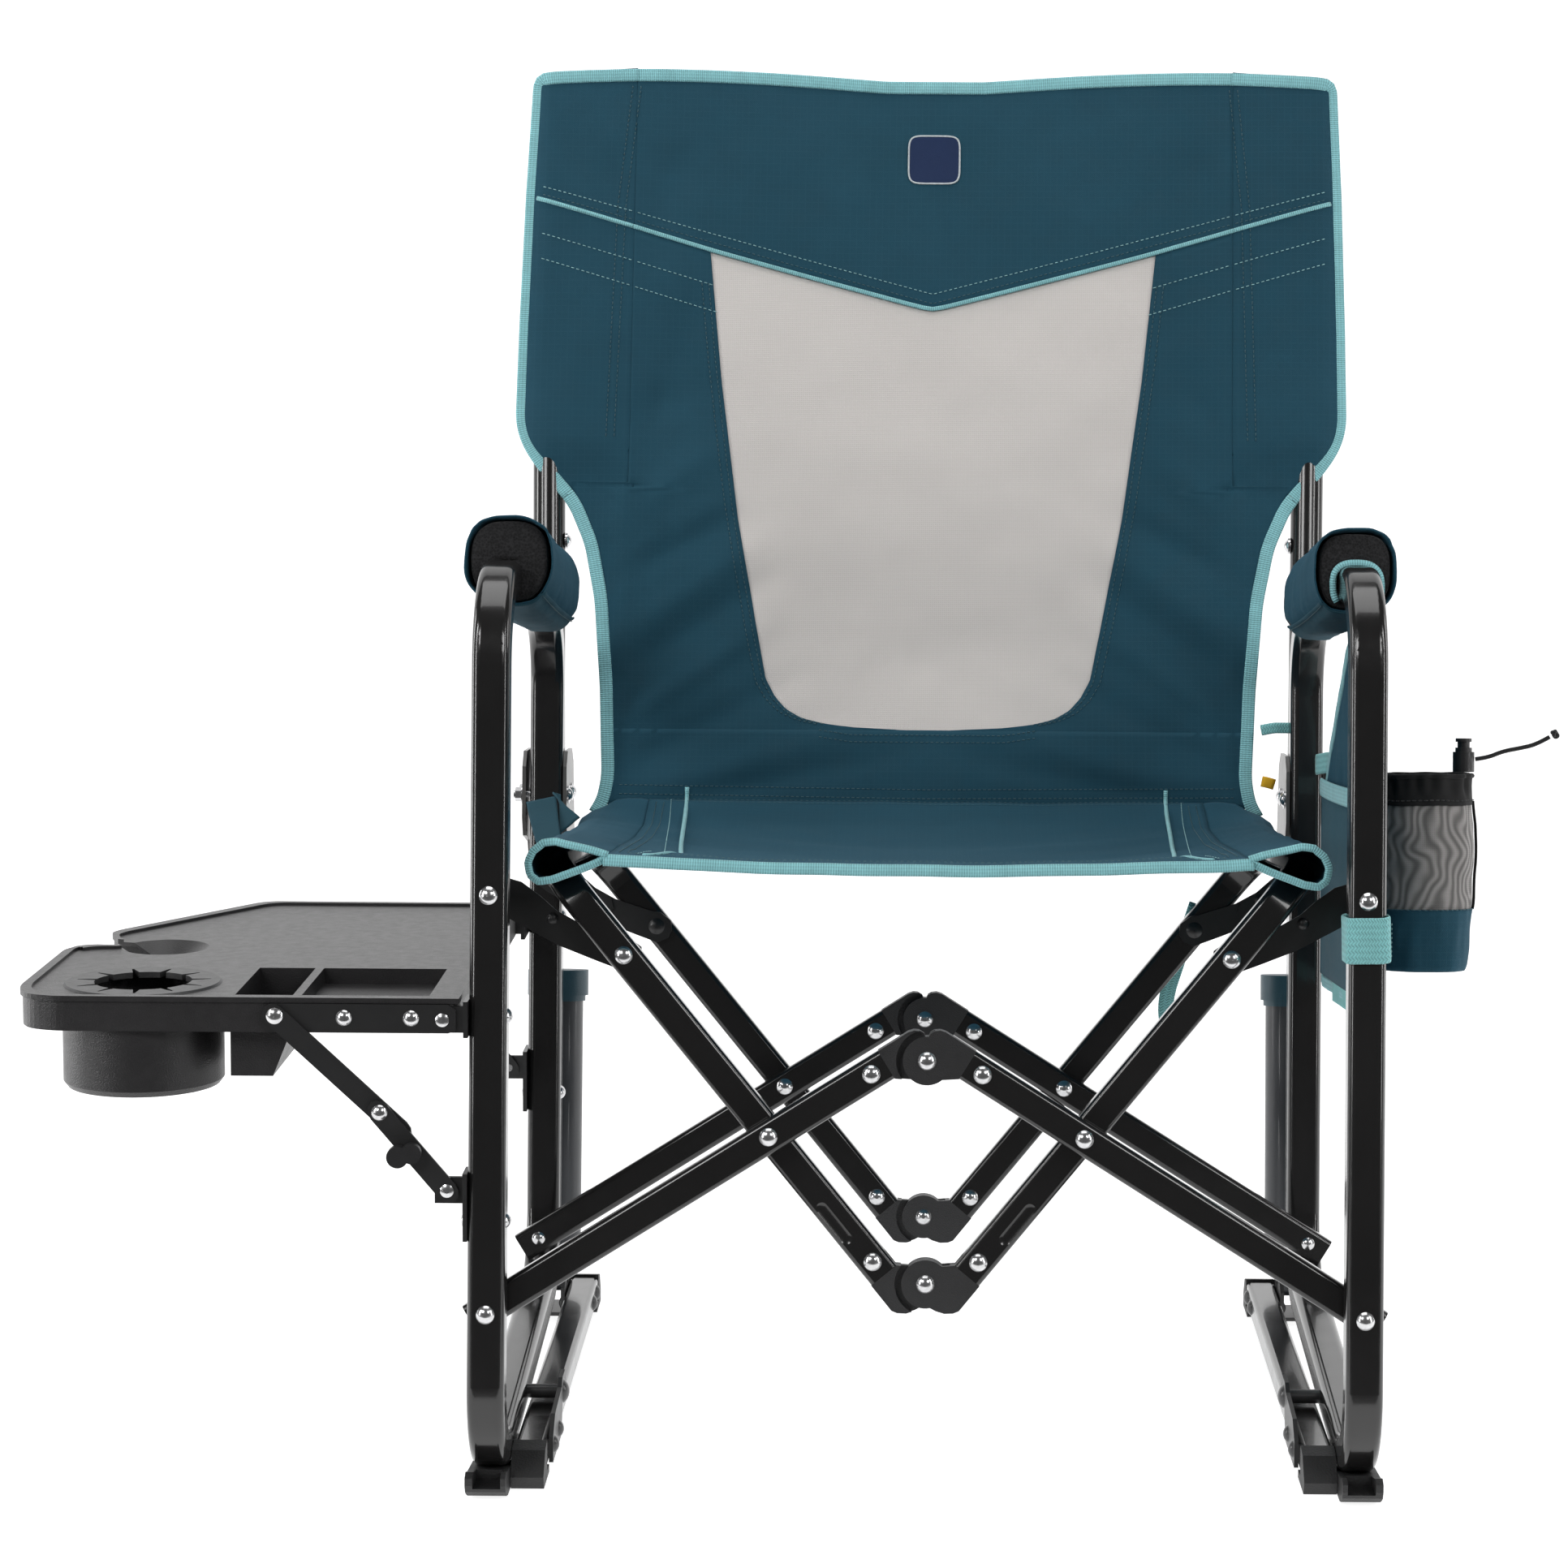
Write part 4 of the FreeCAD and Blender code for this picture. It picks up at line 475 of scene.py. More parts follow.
def resample(pts, step):
    """Points every step metres along a polyline of (point, normal)."""
    out = [pts[0]]
    d = [0.0]
    for (a, _), (b, _) in zip(pts, pts[1:]):
        d.append(d[-1] + (b - a).length)
    total = d[-1]
    n = max(2, int(round(total / step)))
    out, k = [], 0
    for i in range(n + 1):
        s = total * i / n
        while k < len(d) - 2 and d[k + 1] < s:
            k += 1
        seg = d[k + 1] - d[k]
        t = (s - d[k]) / seg if seg > 1e-9 else 0
        p = pts[k][0].lerp(pts[k + 1][0], t)
        nn = pts[k][1].lerp(pts[k + 1][1], t)
        out.append((p, nn.normalized() if nn.length > 1e-9 else Vector((0, -1, 0))))
    return out


def round_line(pts, rounds=2):
    """Corner cutting on a polyline of (point, normal)."""
    for _ in range(rounds):
        new = [pts[0]]
        for (a, na), (b, nb) in zip(pts, pts[1:]):
            new.append((a.lerp(b, 0.25), na.lerp(nb, 0.25)))
            new.append((a.lerp(b, 0.75), na.lerp(nb, 0.75)))
        new.append(pts[-1])
        pts = new
    return pts


def ribbon(name, pts, wide, thick, mat, step=0.004, profile=12, power=0.55, lift=0.0, caps=True):
    """A flat band with rounded edges along (point, outward normal) pairs."""
    pts = resample(pts, step)
    v, f, uv, rows = [], [], [], []
    s = 0.0
    for i, (p, n) in enumerate(pts):
        a = pts[max(i - 1, 0)][0]
        b = pts[min(i + 1, len(pts) - 1)][0]
        t = (b - a).normalized()
        n = (n - t * n.dot(t)).normalized()
        side = t.cross(n).normalized()
        if i:
            s += (p - pts[i - 1][0]).length
        row = []
        for k in range(profile):
            ang = 2 * math.pi * k / profile
            c, sn = math.cos(ang), math.sin(ang)
            x = wide / 2 * math.copysign(abs(c) ** power, c)
            y = thick / 2 * math.copysign(abs(sn) ** power, sn)
            row.append(len(v))
            v.append(p + side * x + n * (y + lift))
            uv.append((s, x))
        rows.append(row)
    f = grid(rows, closed=True)
    if caps:
        f.append(tuple(rows[0][::-1]))
        f.append(tuple(rows[-1]))
    ob = make(name, v, f, mat, uv)
    return ob


def stitch_points(pts, pitch, length, radius, store, lift=0.0003):
    """Short raised stitches along (point, normal) pairs, appended to store."""
    pts = resample(pts, pitch)
    for i in range(len(pts) - 1):
        (a, na), (b, nb) = pts[i], pts[i + 1]
        d = b - a
        if d.length < 1e-6:
            continue
        t = d.normalized()
        n = (na + nb).normalized()
        n = (n - t * n.dot(t)).normalized()
        s = t.cross(n)
        c = a.lerp(b, 0.5) + n * lift
        h = length / 2
        base = len(store[0])
        ring = [(-h, 0.0, -0.5), (-h * 0.6, 0.8, 0.55), (h * 0.6, 0.8, 0.55), (h, 0.0, -0.5)]
        for (x, w, y) in ring:
            for sg in (-1, 1):
                store[0].append(c + t * x + s * (radius * w * sg) + n * (radius * y))
        for x in (-h * 0.55, h * 0.55):
            store[0].append(c + t * x + n * radius * 1.25)
        b0 = base
        store[1].extend([(b0, b0 + 2, b0 + 8), (b0 + 2, b0 + 4, b0 + 9, b0 + 8), (b0 + 4, b0 + 6, b0 + 9), (b0 + 1, b0 + 8, b0 + 3), (b0 + 3, b0 + 8, b0 + 9, b0 + 5),
                         (b0 + 5, b0 + 9, b0 + 7), (b0, b0 + 8, b0 + 1), (b0 + 6, b0 + 7, b0 + 9), (b0, b0 + 1, b0 + 3, b0 + 2), (b0 + 2, b0 + 3, b0 + 5, b0 + 4), (b0 + 4, b0 + 5, b0 + 7, b0 + 6)])


def stitches(name, lines, mat, pitch=0.0042, length=0.0029, radius=0.00042):
    store = ([], [])
    for ln in lines:
        stitch_points(ln, pitch, length, radius, store)
    return make(name, store[0], store[1], mat, [(0, 0)] * len(store[0]))


def fold_at(x, z, folds):
    """Height of a set of creases (x0, z0, x1, z1, amplitude, width)."""
    h = 0.0
    for x0, z0, x1, z1, amp, w in folds:
        dx, dz = x1 - x0, z1 - z0
        L2 = dx * dx + dz * dz
        t = ((x - x0) * dx + (z - z0) * dz) / L2
        if t < -0.25 or t > 1.25:
            continue
        d = abs((x - x0) * dz - (z - z0) * dx) / math.sqrt(L2)
        fade = smooth((t + 0.25) / 0.45) * smooth((1.25 - t) / 0.45)
        h += amp * math.exp(-(d / w) ** 2) * fade
    return h


# ------------------------------------------------------------------ back sling
HW = soft_table([(450, 268), (463, 258), (484, 254), (553, 257), (624, 263), (669, 272), (701, 286), (733, 314), (750, 325), (766, 329.5), (844, 328.5), (950, 326), (1049, 322), (1070, 322)], 7.0)
ZTOP = lambda x: 1046.0 + 6.5 * math.sin(math.pi * clamp((abs(x) - 40) / 300.0)) - 6.0 * smooth((abs(x) - 306) / 16.0)
ZV = lambda x: 860.0 + 0.262 * max(0.0, math.sqrt(x * x + 16.0) - 4.0) if abs(x) < 172 else 904.0 + (abs(x) - 172) * 0.285
MW = soft_table([(521.8, 0), (522.5, 45), (526, 80), (531, 100), (538, 112), (548, 121), (562, 128.5), (600, 136), (690, 153), (800, 168), (906, 179), (960, 185)], 1.2)
ZM0 = 521.8
SEAM_Z = 463.0
BACK_FOLDS = []
for sgn in (-1, 1):
    k = 1.0 if sgn < 0 else 0.85
    BACK_FOLDS += [
        (sgn * 248, 640, sgn * 158, 690, 3.4 * k, 10), (sgn * 250, 590, sgn * 140, 668, -3.0 * k, 12), (sgn * 250, 560, sgn * 130, 640, 2.8 * k, 11),
        (sgn * 250, 520, sgn * 136, 600, -2.6 * k, 10), (sgn * 246, 486, sgn * 110, 560, 2.8 * k, 12), (sgn * 220, 474, sgn * 60, 520, -2.4 * k, 12),
        (sgn * 300, 745, sgn * 200, 790, 2.6 * k, 14), (sgn * 262, 676, sgn * 180, 740, -2.6 * k, 12), (sgn * 240, 720, sgn * 190, 860, 1.8 * k, 16),
        (sgn * 180, 470, sgn * 30, 500, 1.8 * k, 9), (sgn * 300, 1030, sgn * 200, 960, 1.4 * k, 16), (sgn * 235, 905, sgn * 200, 990, 1.2 * k, 14),
    ]


def upright_x(z):
    return 296.5 + (z - 430) * math.tan(math.radians(1.08))


def axis_y(z):
    return 437.0 + (z - 430) * TB


def back_y(x, z, layer=0):
    """Depth of the cloth; layer 1 is the rear cloth of a sleeve."""
    ax = abs(x)
    base = axis_y(z) - 11.0
    low = smooth((z - 470) / 130.0)
    if ax <= 240:
        y = base + 21.0 * low * (1 - (ax / 240.0) ** 2)
        wr = fold_at(x, z, BACK_FOLDS)
        wr += 1.3 * noise.noise(Vector((x / 70.0, z / 55.0, 3.1))) + 0.6 * noise.noise(Vector((x / 24.0, z / 30.0, 7.7)))
        return y + wr * (1 - 0.75 * smooth((ax - 212) / 28.0)) if layer == 0 else y
    hw = HW(z)
    xu = min(upright_x(z), hw - 12)
    if z < 715:
        wr = fold_at(x, z, BACK_FOLDS) * 0.4
        return base + wr + 2.0 * smooth((ax - 240) / 20.0)
    t = (ax - 240.0) / (xu - 240.0) if ax < xu else 1.0 - (ax - xu) / (hw - xu)
    t = clamp(t)
    b = math.sqrt(max(0.0, 1 - (1 - t) ** 2.0)) if ax >= xu else smooth(t) * 0.4 + 0.6 * math.sin(t * math.pi / 2)
    sleeve = smooth((z - 715) / 40.0)
    if ax < xu:
        front = lerp(-11.0, -15.2, b)
        rear = lerp(-10.0, 15.0, b)
    else:
        front = lerp(-0.8, -15.2, b)
        rear = lerp(0.8, 15.0, b)
    wob = 0.7 * noise.noise(Vector((x / 18.0, z / 26.0, 1.3)))
    y = axis_y(z) + (rear if layer else lerp(-9.0, front, sleeve)) + wob
    return y


def BK(x, z, off=0.0, layer=0):
    """Point on the back cloth, off millimetres in front of it."""
    return F(x + 0.006 * max(0.0, z - 450.0), back_y(x, z, layer) - off * math.cos(math.radians(8)), z + off * math.sin(math.radians(8)))


BN = FD(0, -math.cos(math.radians(8)), math.sin(math.radians(8)))


def line_back(points, off=0.6):
    """Straight runs over the back cloth, sampled finely."""
    out = []
    for (x0, z0), (x1, z1) in zip(points, points[1:]):
        n = max(2, int(math.hypot(x1 - x0, z1 - z0) / 4.0))
        for i in range(n + (1 if (x1, z1) == points[-1] else 0)):
            t = i / n
            out.append((BK(lerp(x0, x1, t), lerp(z0, z1, t), off), BN))
    return out


XS = 240.0  # the sleeve's stitch line


def cloth_uv(x, z):
    return (x / 1000.0, z / 1000.0)


def zone(x_lo, x_hi, z_lo, z_hi, nu, nv, layer=0, off=0.0):
    """Patch between two x curves and two z curves."""
    def fn(s, t):
        zz = lerp(z_lo(0), z_hi(0), t)
        x = lerp(x_lo(zz), x_hi(zz), s)
        z = lerp(z_lo(x), z_hi(x), t)
        x = lerp(x_lo(z), x_hi(z), s)
        return BK(x, z, off, layer), cloth_uv(x, z)
    return nu, nv, fn


const = lambda c: (lambda _: c)
centre = Build()
# yoke above the V, seen from the front
centre.patch(*zone(const(-XS), const(XS), ZV, ZTOP, 120, 34))
# sides of the mesh, from its rounded foot up to the V
for sgn in (-1, 1):
    def side_fn(s, t, sgn=sgn):
        z = ZM0 + (906.0 - ZM0) * (t ** 1.7)
        m = MW(z)
        outer = XS if z > 708 else HW(z)
        x = lerp(m, outer, s)
        top = ZV(sgn * x)
        lim = ZM0 + (top - ZM0) * (t ** 1.7)
        x = lerp(MW(lim), outer, s)
        return BK(sgn * x, lim), cloth_uv(sgn * x, lim)
    centre.patch(34, 84, side_fn, flip=sgn < 0)
# foot of the back
centre.patch(*zone(lambda z: -HW(z), lambda z: HW(z), const(SEAM_Z - 1), const(ZM0), 110, 14))
back_centre = centre.done("back_centre", "fabric_teal", thick=0.0011, offset=0.0)

mesh_b = Build()


def mesh_fn(s, t):
    zt = ZM0 - 3 + (912.0 - ZM0) * (t ** 1.5)
    m = MW(zt) + 5.0
    x = lerp(-m, m, s)
    z = ZM0 - 3 + (ZV(x) + 3 - ZM0) * (t ** 1.5)
    return BK(x, z, -1.1), cloth_uv(x, z)


mesh_b.patch(70, 70, mesh_fn)
back_mesh = mesh_b.done("back_mesh_panel", "panel_mesh", thick=0.0006)

sleeves = {}
for side, sgn in (("right", 1), ("left", -1)):
    b = Build()
    z_in = 716.0

    def front_fn(s, t, sgn=sgn):
        z0 = 703.0
        z = lerp(z0, ZTOP(sgn * lerp(XS, 322.0, s)), t)
        x = lerp(XS - 4.0, HW(z), s)
        z = lerp(z0, ZTOP(sgn * x), t)
        return BK(sgn * x, z, -0.8 if x < XS + 0.4 or z < 707.0 else 0.0), cloth_uv(sgn * x, z)

    def rear_fn(s, t, sgn=sgn):
        z0 = 742.0
        z = lerp(z0, ZTOP(sgn * lerp(XS, 322.0, s)), t)
        x = lerp(XS, HW(z), s)
        z = lerp(z0, ZTOP(sgn * x), t)
        return BK(sgn * x, z, 0, 1), cloth_uv(sgn * x, z)

    b.patch(30, 74, front_fn, flip=sgn < 0)
    b.patch(30, 70, rear_fn, flip=sgn > 0)
    # closed top of the sleeve

    def top_fn(s, t, sgn=sgn):
        x = lerp(XS, HW(1046), s)
        z = ZTOP(sgn * x)
        p = BK(sgn * x, z).lerp(BK(sgn * x, z, 0, 1), t)
        return p + FD(0, 0, 1) * (0.002 * math.sin(math.pi * t)), (x / 1000, t * 0.03)
    b.patch(30, 6, top_fn, flip=sgn < 0)
    sleeves[side] = b.done("back_sleeve_" + side, "fabric_teal", thick=0.0010)

# bindings
BIND_W, BIND_T = 0.0105, 0.0034


def edge_line(sgn, z0, z1, inset=3.6, n=120, extra=0.0):
    out = []
    for i in range(n + 1):
        z = lerp(z0, z1, i / n)
        x = sgn * (HW(z) - inset)
        out.append((BK(x, z, 0.6 + extra), BN))
    return out


top_line = [(BK(x, ZTOP(x) - 3.6, 0.8), BN) for x in [lerp(-XS, XS, i / 120) for i in range(121)]]
bind_top = ribbon("back_binding_top", top_line, BIND_W, BIND_T, "binding")
bind_side, bind_low = {}, {}
for side, sgn in (("right", 1), ("left", -1)):
    ln = edge_line(sgn, 706.0, 1044.0, n=150)
    corner = []
    for i in range(1, 9):
        a = math.pi / 2 * i / 8
        x = (HW(1046) - 3.6) - 7.0 * (1 - math.cos(a))
        z = 1039.0 + 5.0 * math.sin(a)
        corner.append((BK(sgn * x, z, 0.9), BN))
    tail = [(BK(sgn * x, ZTOP(x) - 3.6, 0.9), BN) for x in [lerp(HW(1046) - 14, XS - 1, i / 30) for i in range(31)]]
    ln = [q for q in ln if True and q is not None][:-3] + corner + tail
    bind_side[side] = ribbon("back_binding_" + side, ln, BIND_W, BIND_T, "binding")
    low = edge_line(sgn, SEAM_Z - 8, 708.0, n=110)
    bind_low[side] = ribbon("back_binding_low_" + side, low, BIND_W, BIND_T, "binding")

# piping along the V, in three lengths
vp = [(x, ZV(x) + 0.5) for x in [lerp(-XS, XS, i / 60) for i in range(61)]]
pipe_c = ribbon("back_piping", line_back(vp, 0.9), 0.0036, 0.0026, "binding", profile=8, power=0.8)
pipe_s = {}
for side, sgn in (("right", 1), ("left", -1)):
    vs = [(sgn * x, ZV(x) + 0.5) for x in [lerp(XS, HW(940) - 8, i / 12) for i in range(13)]]
    pipe_s[side] = ribbon("back_piping_" + side, line_back(vs, 0.9), 0.0036, 0.0026, "binding", profile=8, power=0.8)


def split_line(points):
    """Cuts a polyline of (x, z) at the stitch lines: centre, right, left."""
    dense = []
    for (x0, z0), (x1, z1) in zip(points, points[1:]):
        n = max(2, int(math.hypot(x1 - x0, z1 - z0) / 3.0))
        dense += [(lerp(x0, x1, i / n), lerp(z0, z1, i / n)) for i in range(n)]
    dense.append(points[-1])
    parts = {"centre": [], "right": [], "left": []}
    run, key = [], None
    for p in dense:
        k = "right" if (p[0] > XS and p[1] > 706) else "left" if (p[0] < -XS and p[1] > 706) else "centre"
        if k != key and len(run) > 2:
            parts[key].append(run)
            run = []
        elif k != key:
            run = []
        key = k
        run.append(p)
    if len(run) > 2:
        parts[key].append(run)
    return parts


def on_back(run, off=0.75):
    return [(BK(x, z, off), BN) for x, z in run]


LIGHT, DARK = {"centre": [], "right": [], "left": []}, {"centre": [], "right": [], "left": []}


def add(target, pts):
    for k, runs in split_line(pts).items():
        target[k] += [on_back(r) for r in runs]


xe = 314.0
add(LIGHT, [(-xe, ZV(xe) + 11.0), (0, ZV(0) + 12.5), (xe, ZV(xe) + 11.0)])
add(DARK, [(-xe, ZV(xe) + 4.5), (0, ZV(0) + 4.8), (xe, ZV(xe) + 4.5)])
for sgn in (-1, 1):
    add(LIGHT, [(sgn * xe, 917.5), (sgn * 176, 877.5)])
    add(LIGHT, [(sgn * xe, 897.0), (sgn * 172.5, 855.5)])
    for dx in (0.0, 6.5):
        add(DARK, [(sgn * (237.0 + dx), 1040.0), (sgn * (247.0 + dx), 940.0), (sgn * (252.0 + dx), 753.0)])
    for dm in (3.5, 9.0):
        mz = [(sgn * (MW(z) + dm), z) for z in (526, 530, 536, 546, 560, 600, 650, 700, 760, 820, 880)]
        add(DARK, mz)
    add(DARK, [(sgn * (XS + 2), 470.5), (0, 468.0)])
    add(DARK, [(sgn * (XS + 2), 477.5), (0, 475.0)])
for dz in (4.0, 9.5):
    add(DARK, [(-86, ZM0 - dz + 4), (-60, ZM0 - dz), (60, ZM0 - dz), (86, ZM0 - dz + 4)])
st_light = {k: stitches("back_stitch_light_" + k, v, "thread_light", pitch=0.0042, length=0.0031, radius=0.00045) for k, v in LIGHT.items() if v}
st_dark = {k: stitches("back_stitch_dark_" + k, v, "thread_dark", pitch=0.0040, length=0.0027, radius=0.00042) for k, v in DARK.items() if v}

# plain woven patch, no lettering
patch = Build()


def patch_fn(s, t):
    a, c = (s - 0.5) * 2, (t - 0.5) * 2
    r = 1 - 0.12 * (abs(a) ** 4) * (abs(c) ** 4)
    x, z = a * 21.0 * r, 983.0 + c * 20.0 * r
    edge = max(abs(a), abs(c))
    return BK(x, z, 1.1 - 0.5 * smooth((edge - 0.9) / 0.1)), cloth_uv(x, z)


patch.patch(20, 20, patch_fn)
patch_o = patch.done("back_patch", "patch_navy", thick=0.0008)
ring_pts = []
for i in range(65):
    a = 2 * math.pi * i / 64
    c, s_ = math.cos(a), math.sin(a)
    ring_pts.append((BK(20.6 * math.copysign(abs(c) ** 0.35, c), 983 + 19.6 * math.copysign(abs(s_) ** 0.35, s_), 1.3), BN))
patch_e = ribbon("back_patch_edge", ring_pts, 0.0015, 0.0012, "patch_edge", step=0.0015, profile=8, power=1.0, caps=False)

back_centre_set = [back_centre, back_mesh, bind_top, bind_low["right"], bind_low["left"], pipe_c, st_light["centre"], st_dark["centre"], patch_o, patch_e]
for o in back_centre_set:
    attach(o, "side_right")
    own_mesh(o)
for side in ("right", "left"):
    for o in [sleeves[side], bind_side[side], pipe_s[side]] + [d[side] for d in (st_light, st_dark) if side in d]:
        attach(o, "side_" + side)
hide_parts("back_sling")

# ------------------------------------------------------------------ seat sling
Y0, Y1 = 8.0, 430.0
ZSIDE = soft_table([(0, 439.0), (0.25, 440.5), (0.6, 441.5), (0.85, 448.0), (1.0, 467.0)], 0.02)
ZCEN = soft_table([(0, 433.5), (0.25, 427.5), (0.5, 426.0), (0.75, 433.0), (0.92, 450.0), (1.0, 467.0)], 0.03)
SEAT_FOLDS = [(-217, 60, -150, 30, 2.4, 14), (-217, 110, -120, 60, -1.8, 16), (217, 60, 150, 30, 2.2, 14), (217, 110, 120, 60, -1.8, 16), (-200, 330, -60, 300, 1.6, 18),
              (200, 330, 60, 300, 1.6, 18), (-120, 26, 120, 30, 1.2, 10), (-215, 250, -100, 200, 1.6, 18), (215, 250, 100, 200, -1.6, 18)]


def seat_z(x, y):
    t = clamp((y - Y0) / (Y1 - Y0))
    k = clamp(abs(x) / 217.0, 0, 1.15)
    z = lerp(ZCEN(t), ZSIDE(t), k ** 2.2 if k <= 1 else 1.0)
    z += fold_at(x, y, SEAT_FOLDS) * (1 - smooth((abs(x) - 190) / 26.0)) * smooth((Y1 - y) / 40.0)
    z += 1.1 * noise.noise(Vector((x / 60.0, y / 60.0, 11.0))) * (1 - smooth((abs(x) - 190) / 26.0))
    return z


def ST_PT(x, y, off=0.0):
    return F(x, y, seat_z(x, y) + off)


SN = FD(0, 0, 1)
SW = 217.0
sc = Build()
sc.patch(96, 84, lambda s, t: (ST_PT(lerp(-SW, SW, s), lerp(Y0, Y1, t)), (lerp(-SW, SW, s) / 1000, lerp(Y0, Y1, t) / 1000)))
# rolled front hem that drops below the edge
def hem_fn(s, t):
    x = lerp(-SW, SW, s)
    a = math.pi * 0.62 * t
    return F(x, Y0 - 3.2 * math.sin(a), seat_z(x, Y0) - 3.6 * (1 - math.cos(a)) - 2.5 * t), (x / 1000, -t * 0.01)


sc.patch(96, 8, hem_fn, flip=True)
seat_centre = sc.done("seat_centre", "fabric_teal", thick=0.0012)

LOOP = [(217, 438.5), (228, 441.8), (240, 445.0), (252, 447.6), (261, 446.6), (267.5, 441.5), (270.8, 433.5), (269.5, 425.0), (264, 420.6), (254, 421.6), (243, 426.0), (231, 431.0), (219, 436.0)]


def loop_point(k, y):
    t = clamp((y - Y0) / (Y1 - Y0))
    i = min(int(k * (len(LOOP) - 1)), len(LOOP) - 2)
    u = k * (len(LOOP) - 1) - i
    x, z = lerp(LOOP[i][0], LOOP[i + 1][0], u), lerp(LOOP[i][1], LOOP[i + 1][1], u)
    up = ZSIDE(t) - 439.0
    w = smooth((z - 423.0) / 18.0)
    pinch = smooth((y - 392.0) / 34.0)
    x = lerp(x, 217 + (x - 217) * 0.72, pinch)
    z = z + up * lerp(w, 1.0, pinch) * (1 - 0.42 * smooth((abs(x) - 217) / 36.0))
    z += 0.9 * noise.noise(Vector((k * 6.0, y / 34.0, 5.0)))
    x += 0.7 * noise.noise(Vector((k * 7.0, y / 28.0, 9.0)))
    return x, z


seat_sleeve, seat_loop_bind = {}, {}
for side, sgn in (("right", 1), ("left", -1)):
    b = Build()
    b.patch(56, 76, lambda s, t, sgn=sgn: (F(sgn * loop_point(s, lerp(Y0, Y1 - 2, t))[0], lerp(Y0, Y1 - 2, t), loop_point(s, lerp(Y0, Y1 - 2, t))[1]), (s * 0.13, lerp(Y0, Y1, t) / 1000)), flip=sgn > 0)
    seat_sleeve[side] = b.done("seat_sleeve_" + side, "fabric_teal", thick=0.0012)
    pts = []
    for i in range(61):
        k = i / 60
        x, z = loop_point(k, Y0)
        x2, z2 = loop_point(min(k + 0.01, 1), Y0)
        x1, z1 = loop_point(max(k - 0.01, 0), Y0)
        d = Vector((x2 - x1, 0, z2 - z1))
        n = Vector((-d.z, 0, d.x)).normalized() if d.length else Vector((0, 0, 1))
        nf = FD(sgn * n.x * 0.55, -0.84, n.z * 0.55)
        pts.append((F(sgn * x, Y0 - 1.2, z), nf))
    seat_loop_bind[side] = ribbon("seat_binding_" + side, pts, 0.0054, 0.0032, "binding", step=0.003)

fr = []
for i in range(121):
    x = lerp(-SW - 3, SW + 3, i / 120)
    fr.append((F(x, Y0 - 2.6, seat_z(x, Y0) - 3.6), FD(0, -0.86, 0.5)))
seat_bind = ribbon("seat_binding_front", fr, 0.0088, 0.0034, "binding")
seat_pipe_lines, seat_light, seat_dark = [], [], []
for sgn in (-1, 1):
    path = [(188, 431), (187, 400), (185, 330), (181, 240), (176, 150), (172, 90), (172, 60), (177, 36), (186, 20), (193, 12)]
    pts = [(ST_PT(sgn * a, b_, 0.8), SN) for a, b_ in path]
    up = [(BK(sgn * 188, z, 0.9), BN) for z in (476, 470)]
    seat_pipe_lines.append(round_line(up + pts, 2))
    path2 = [(200, 428), (198, 380), (195, 300), (190, 200), (185, 110), (184, 70), (190, 40), (198, 20)]
    seat_light.append(round_line([(ST_PT(sgn * a, b_, 0.7), SN) for a, b_ in path2], 2))
    for o_ in (205.0, 211.0):
        seat_dark.append([(ST_PT(sgn * o_, y, 0.7), SN) for y in range(30, 426, 6)])
for yy in (18.0, 24.0):
    seat_dark.append([(ST_PT(x, yy, 0.7), SN) for x in range(-205, 206, 6)])
for dz in (2.0, 7.5):
    seat_dark.append([(ST_PT(x, 430 - dz, 0.8), SN) for x in range(-205, 206, 6)])
seat_pipes = [ribbon("seat_piping_" + n_, ln, 0.0034, 0.0024, "binding", profile=8, power=0.8) for n_, ln in zip(("left", "right"), seat_pipe_lines)]
seat_sl = stitches("seat_stitch_light", seat_light, "thread_light", radius=0.00045)
seat_sd = stitches("seat_stitch_dark", seat_dark, "thread_dark")

for o in [seat_centre, seat_bind, seat_sl, seat_sd] + seat_pipes:
    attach(o, "seat_right")
    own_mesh(o)
for side in ("right", "left"):
    for o in (seat_sleeve[side], seat_loop_bind[side]):
        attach(o, "seat_" + side)
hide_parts("seat_sling")

# short retaining strap from the left rear leg down to the seat sleeve: a wide outer face and the folded return behind it
def strap_face(c00, c10, c01, c11, bulge):
    def fn(u, v):
        q = []
        for k in range(3):
            q.append(lerp(lerp(c00[k], c10[k], u), lerp(c01[k], c11[k], u), v))
        w = bulge * math.sin(math.pi * v) + 0.5 * noise.noise(Vector((u * 3, v * 4, bulge)))
        return F(q[0], q[1] - w, q[2] - 0.5 * w), (u * 0.024, v * 0.065)
    return fn


b = Build()
b.patch(14, 26, strap_face((-309.4, 384, 464), (-286.2, 384, 469), (-295.5, 330, 432.2), (-277.7, 330, 439.6), 2.2))
b.patch(14, 20, strap_face((-289.3, 386, 472), (-283.0, 386, 470), (-265.2, 350, 454.4), (-280.0, 345, 442), 1.2))
o = b.done("seat_strap_left", "fabric_teal_dull", thick=0.0016)
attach(o, "side_left")

# ------------------------------------------------------------------ arm pads: foam core and sewn sleeve
W = 295.6
SLOPE = (608.0 - 630.0) / 410.0


def pad_c(y):
    return W - 3.2, 630.0 + SLOPE * y + 14.0


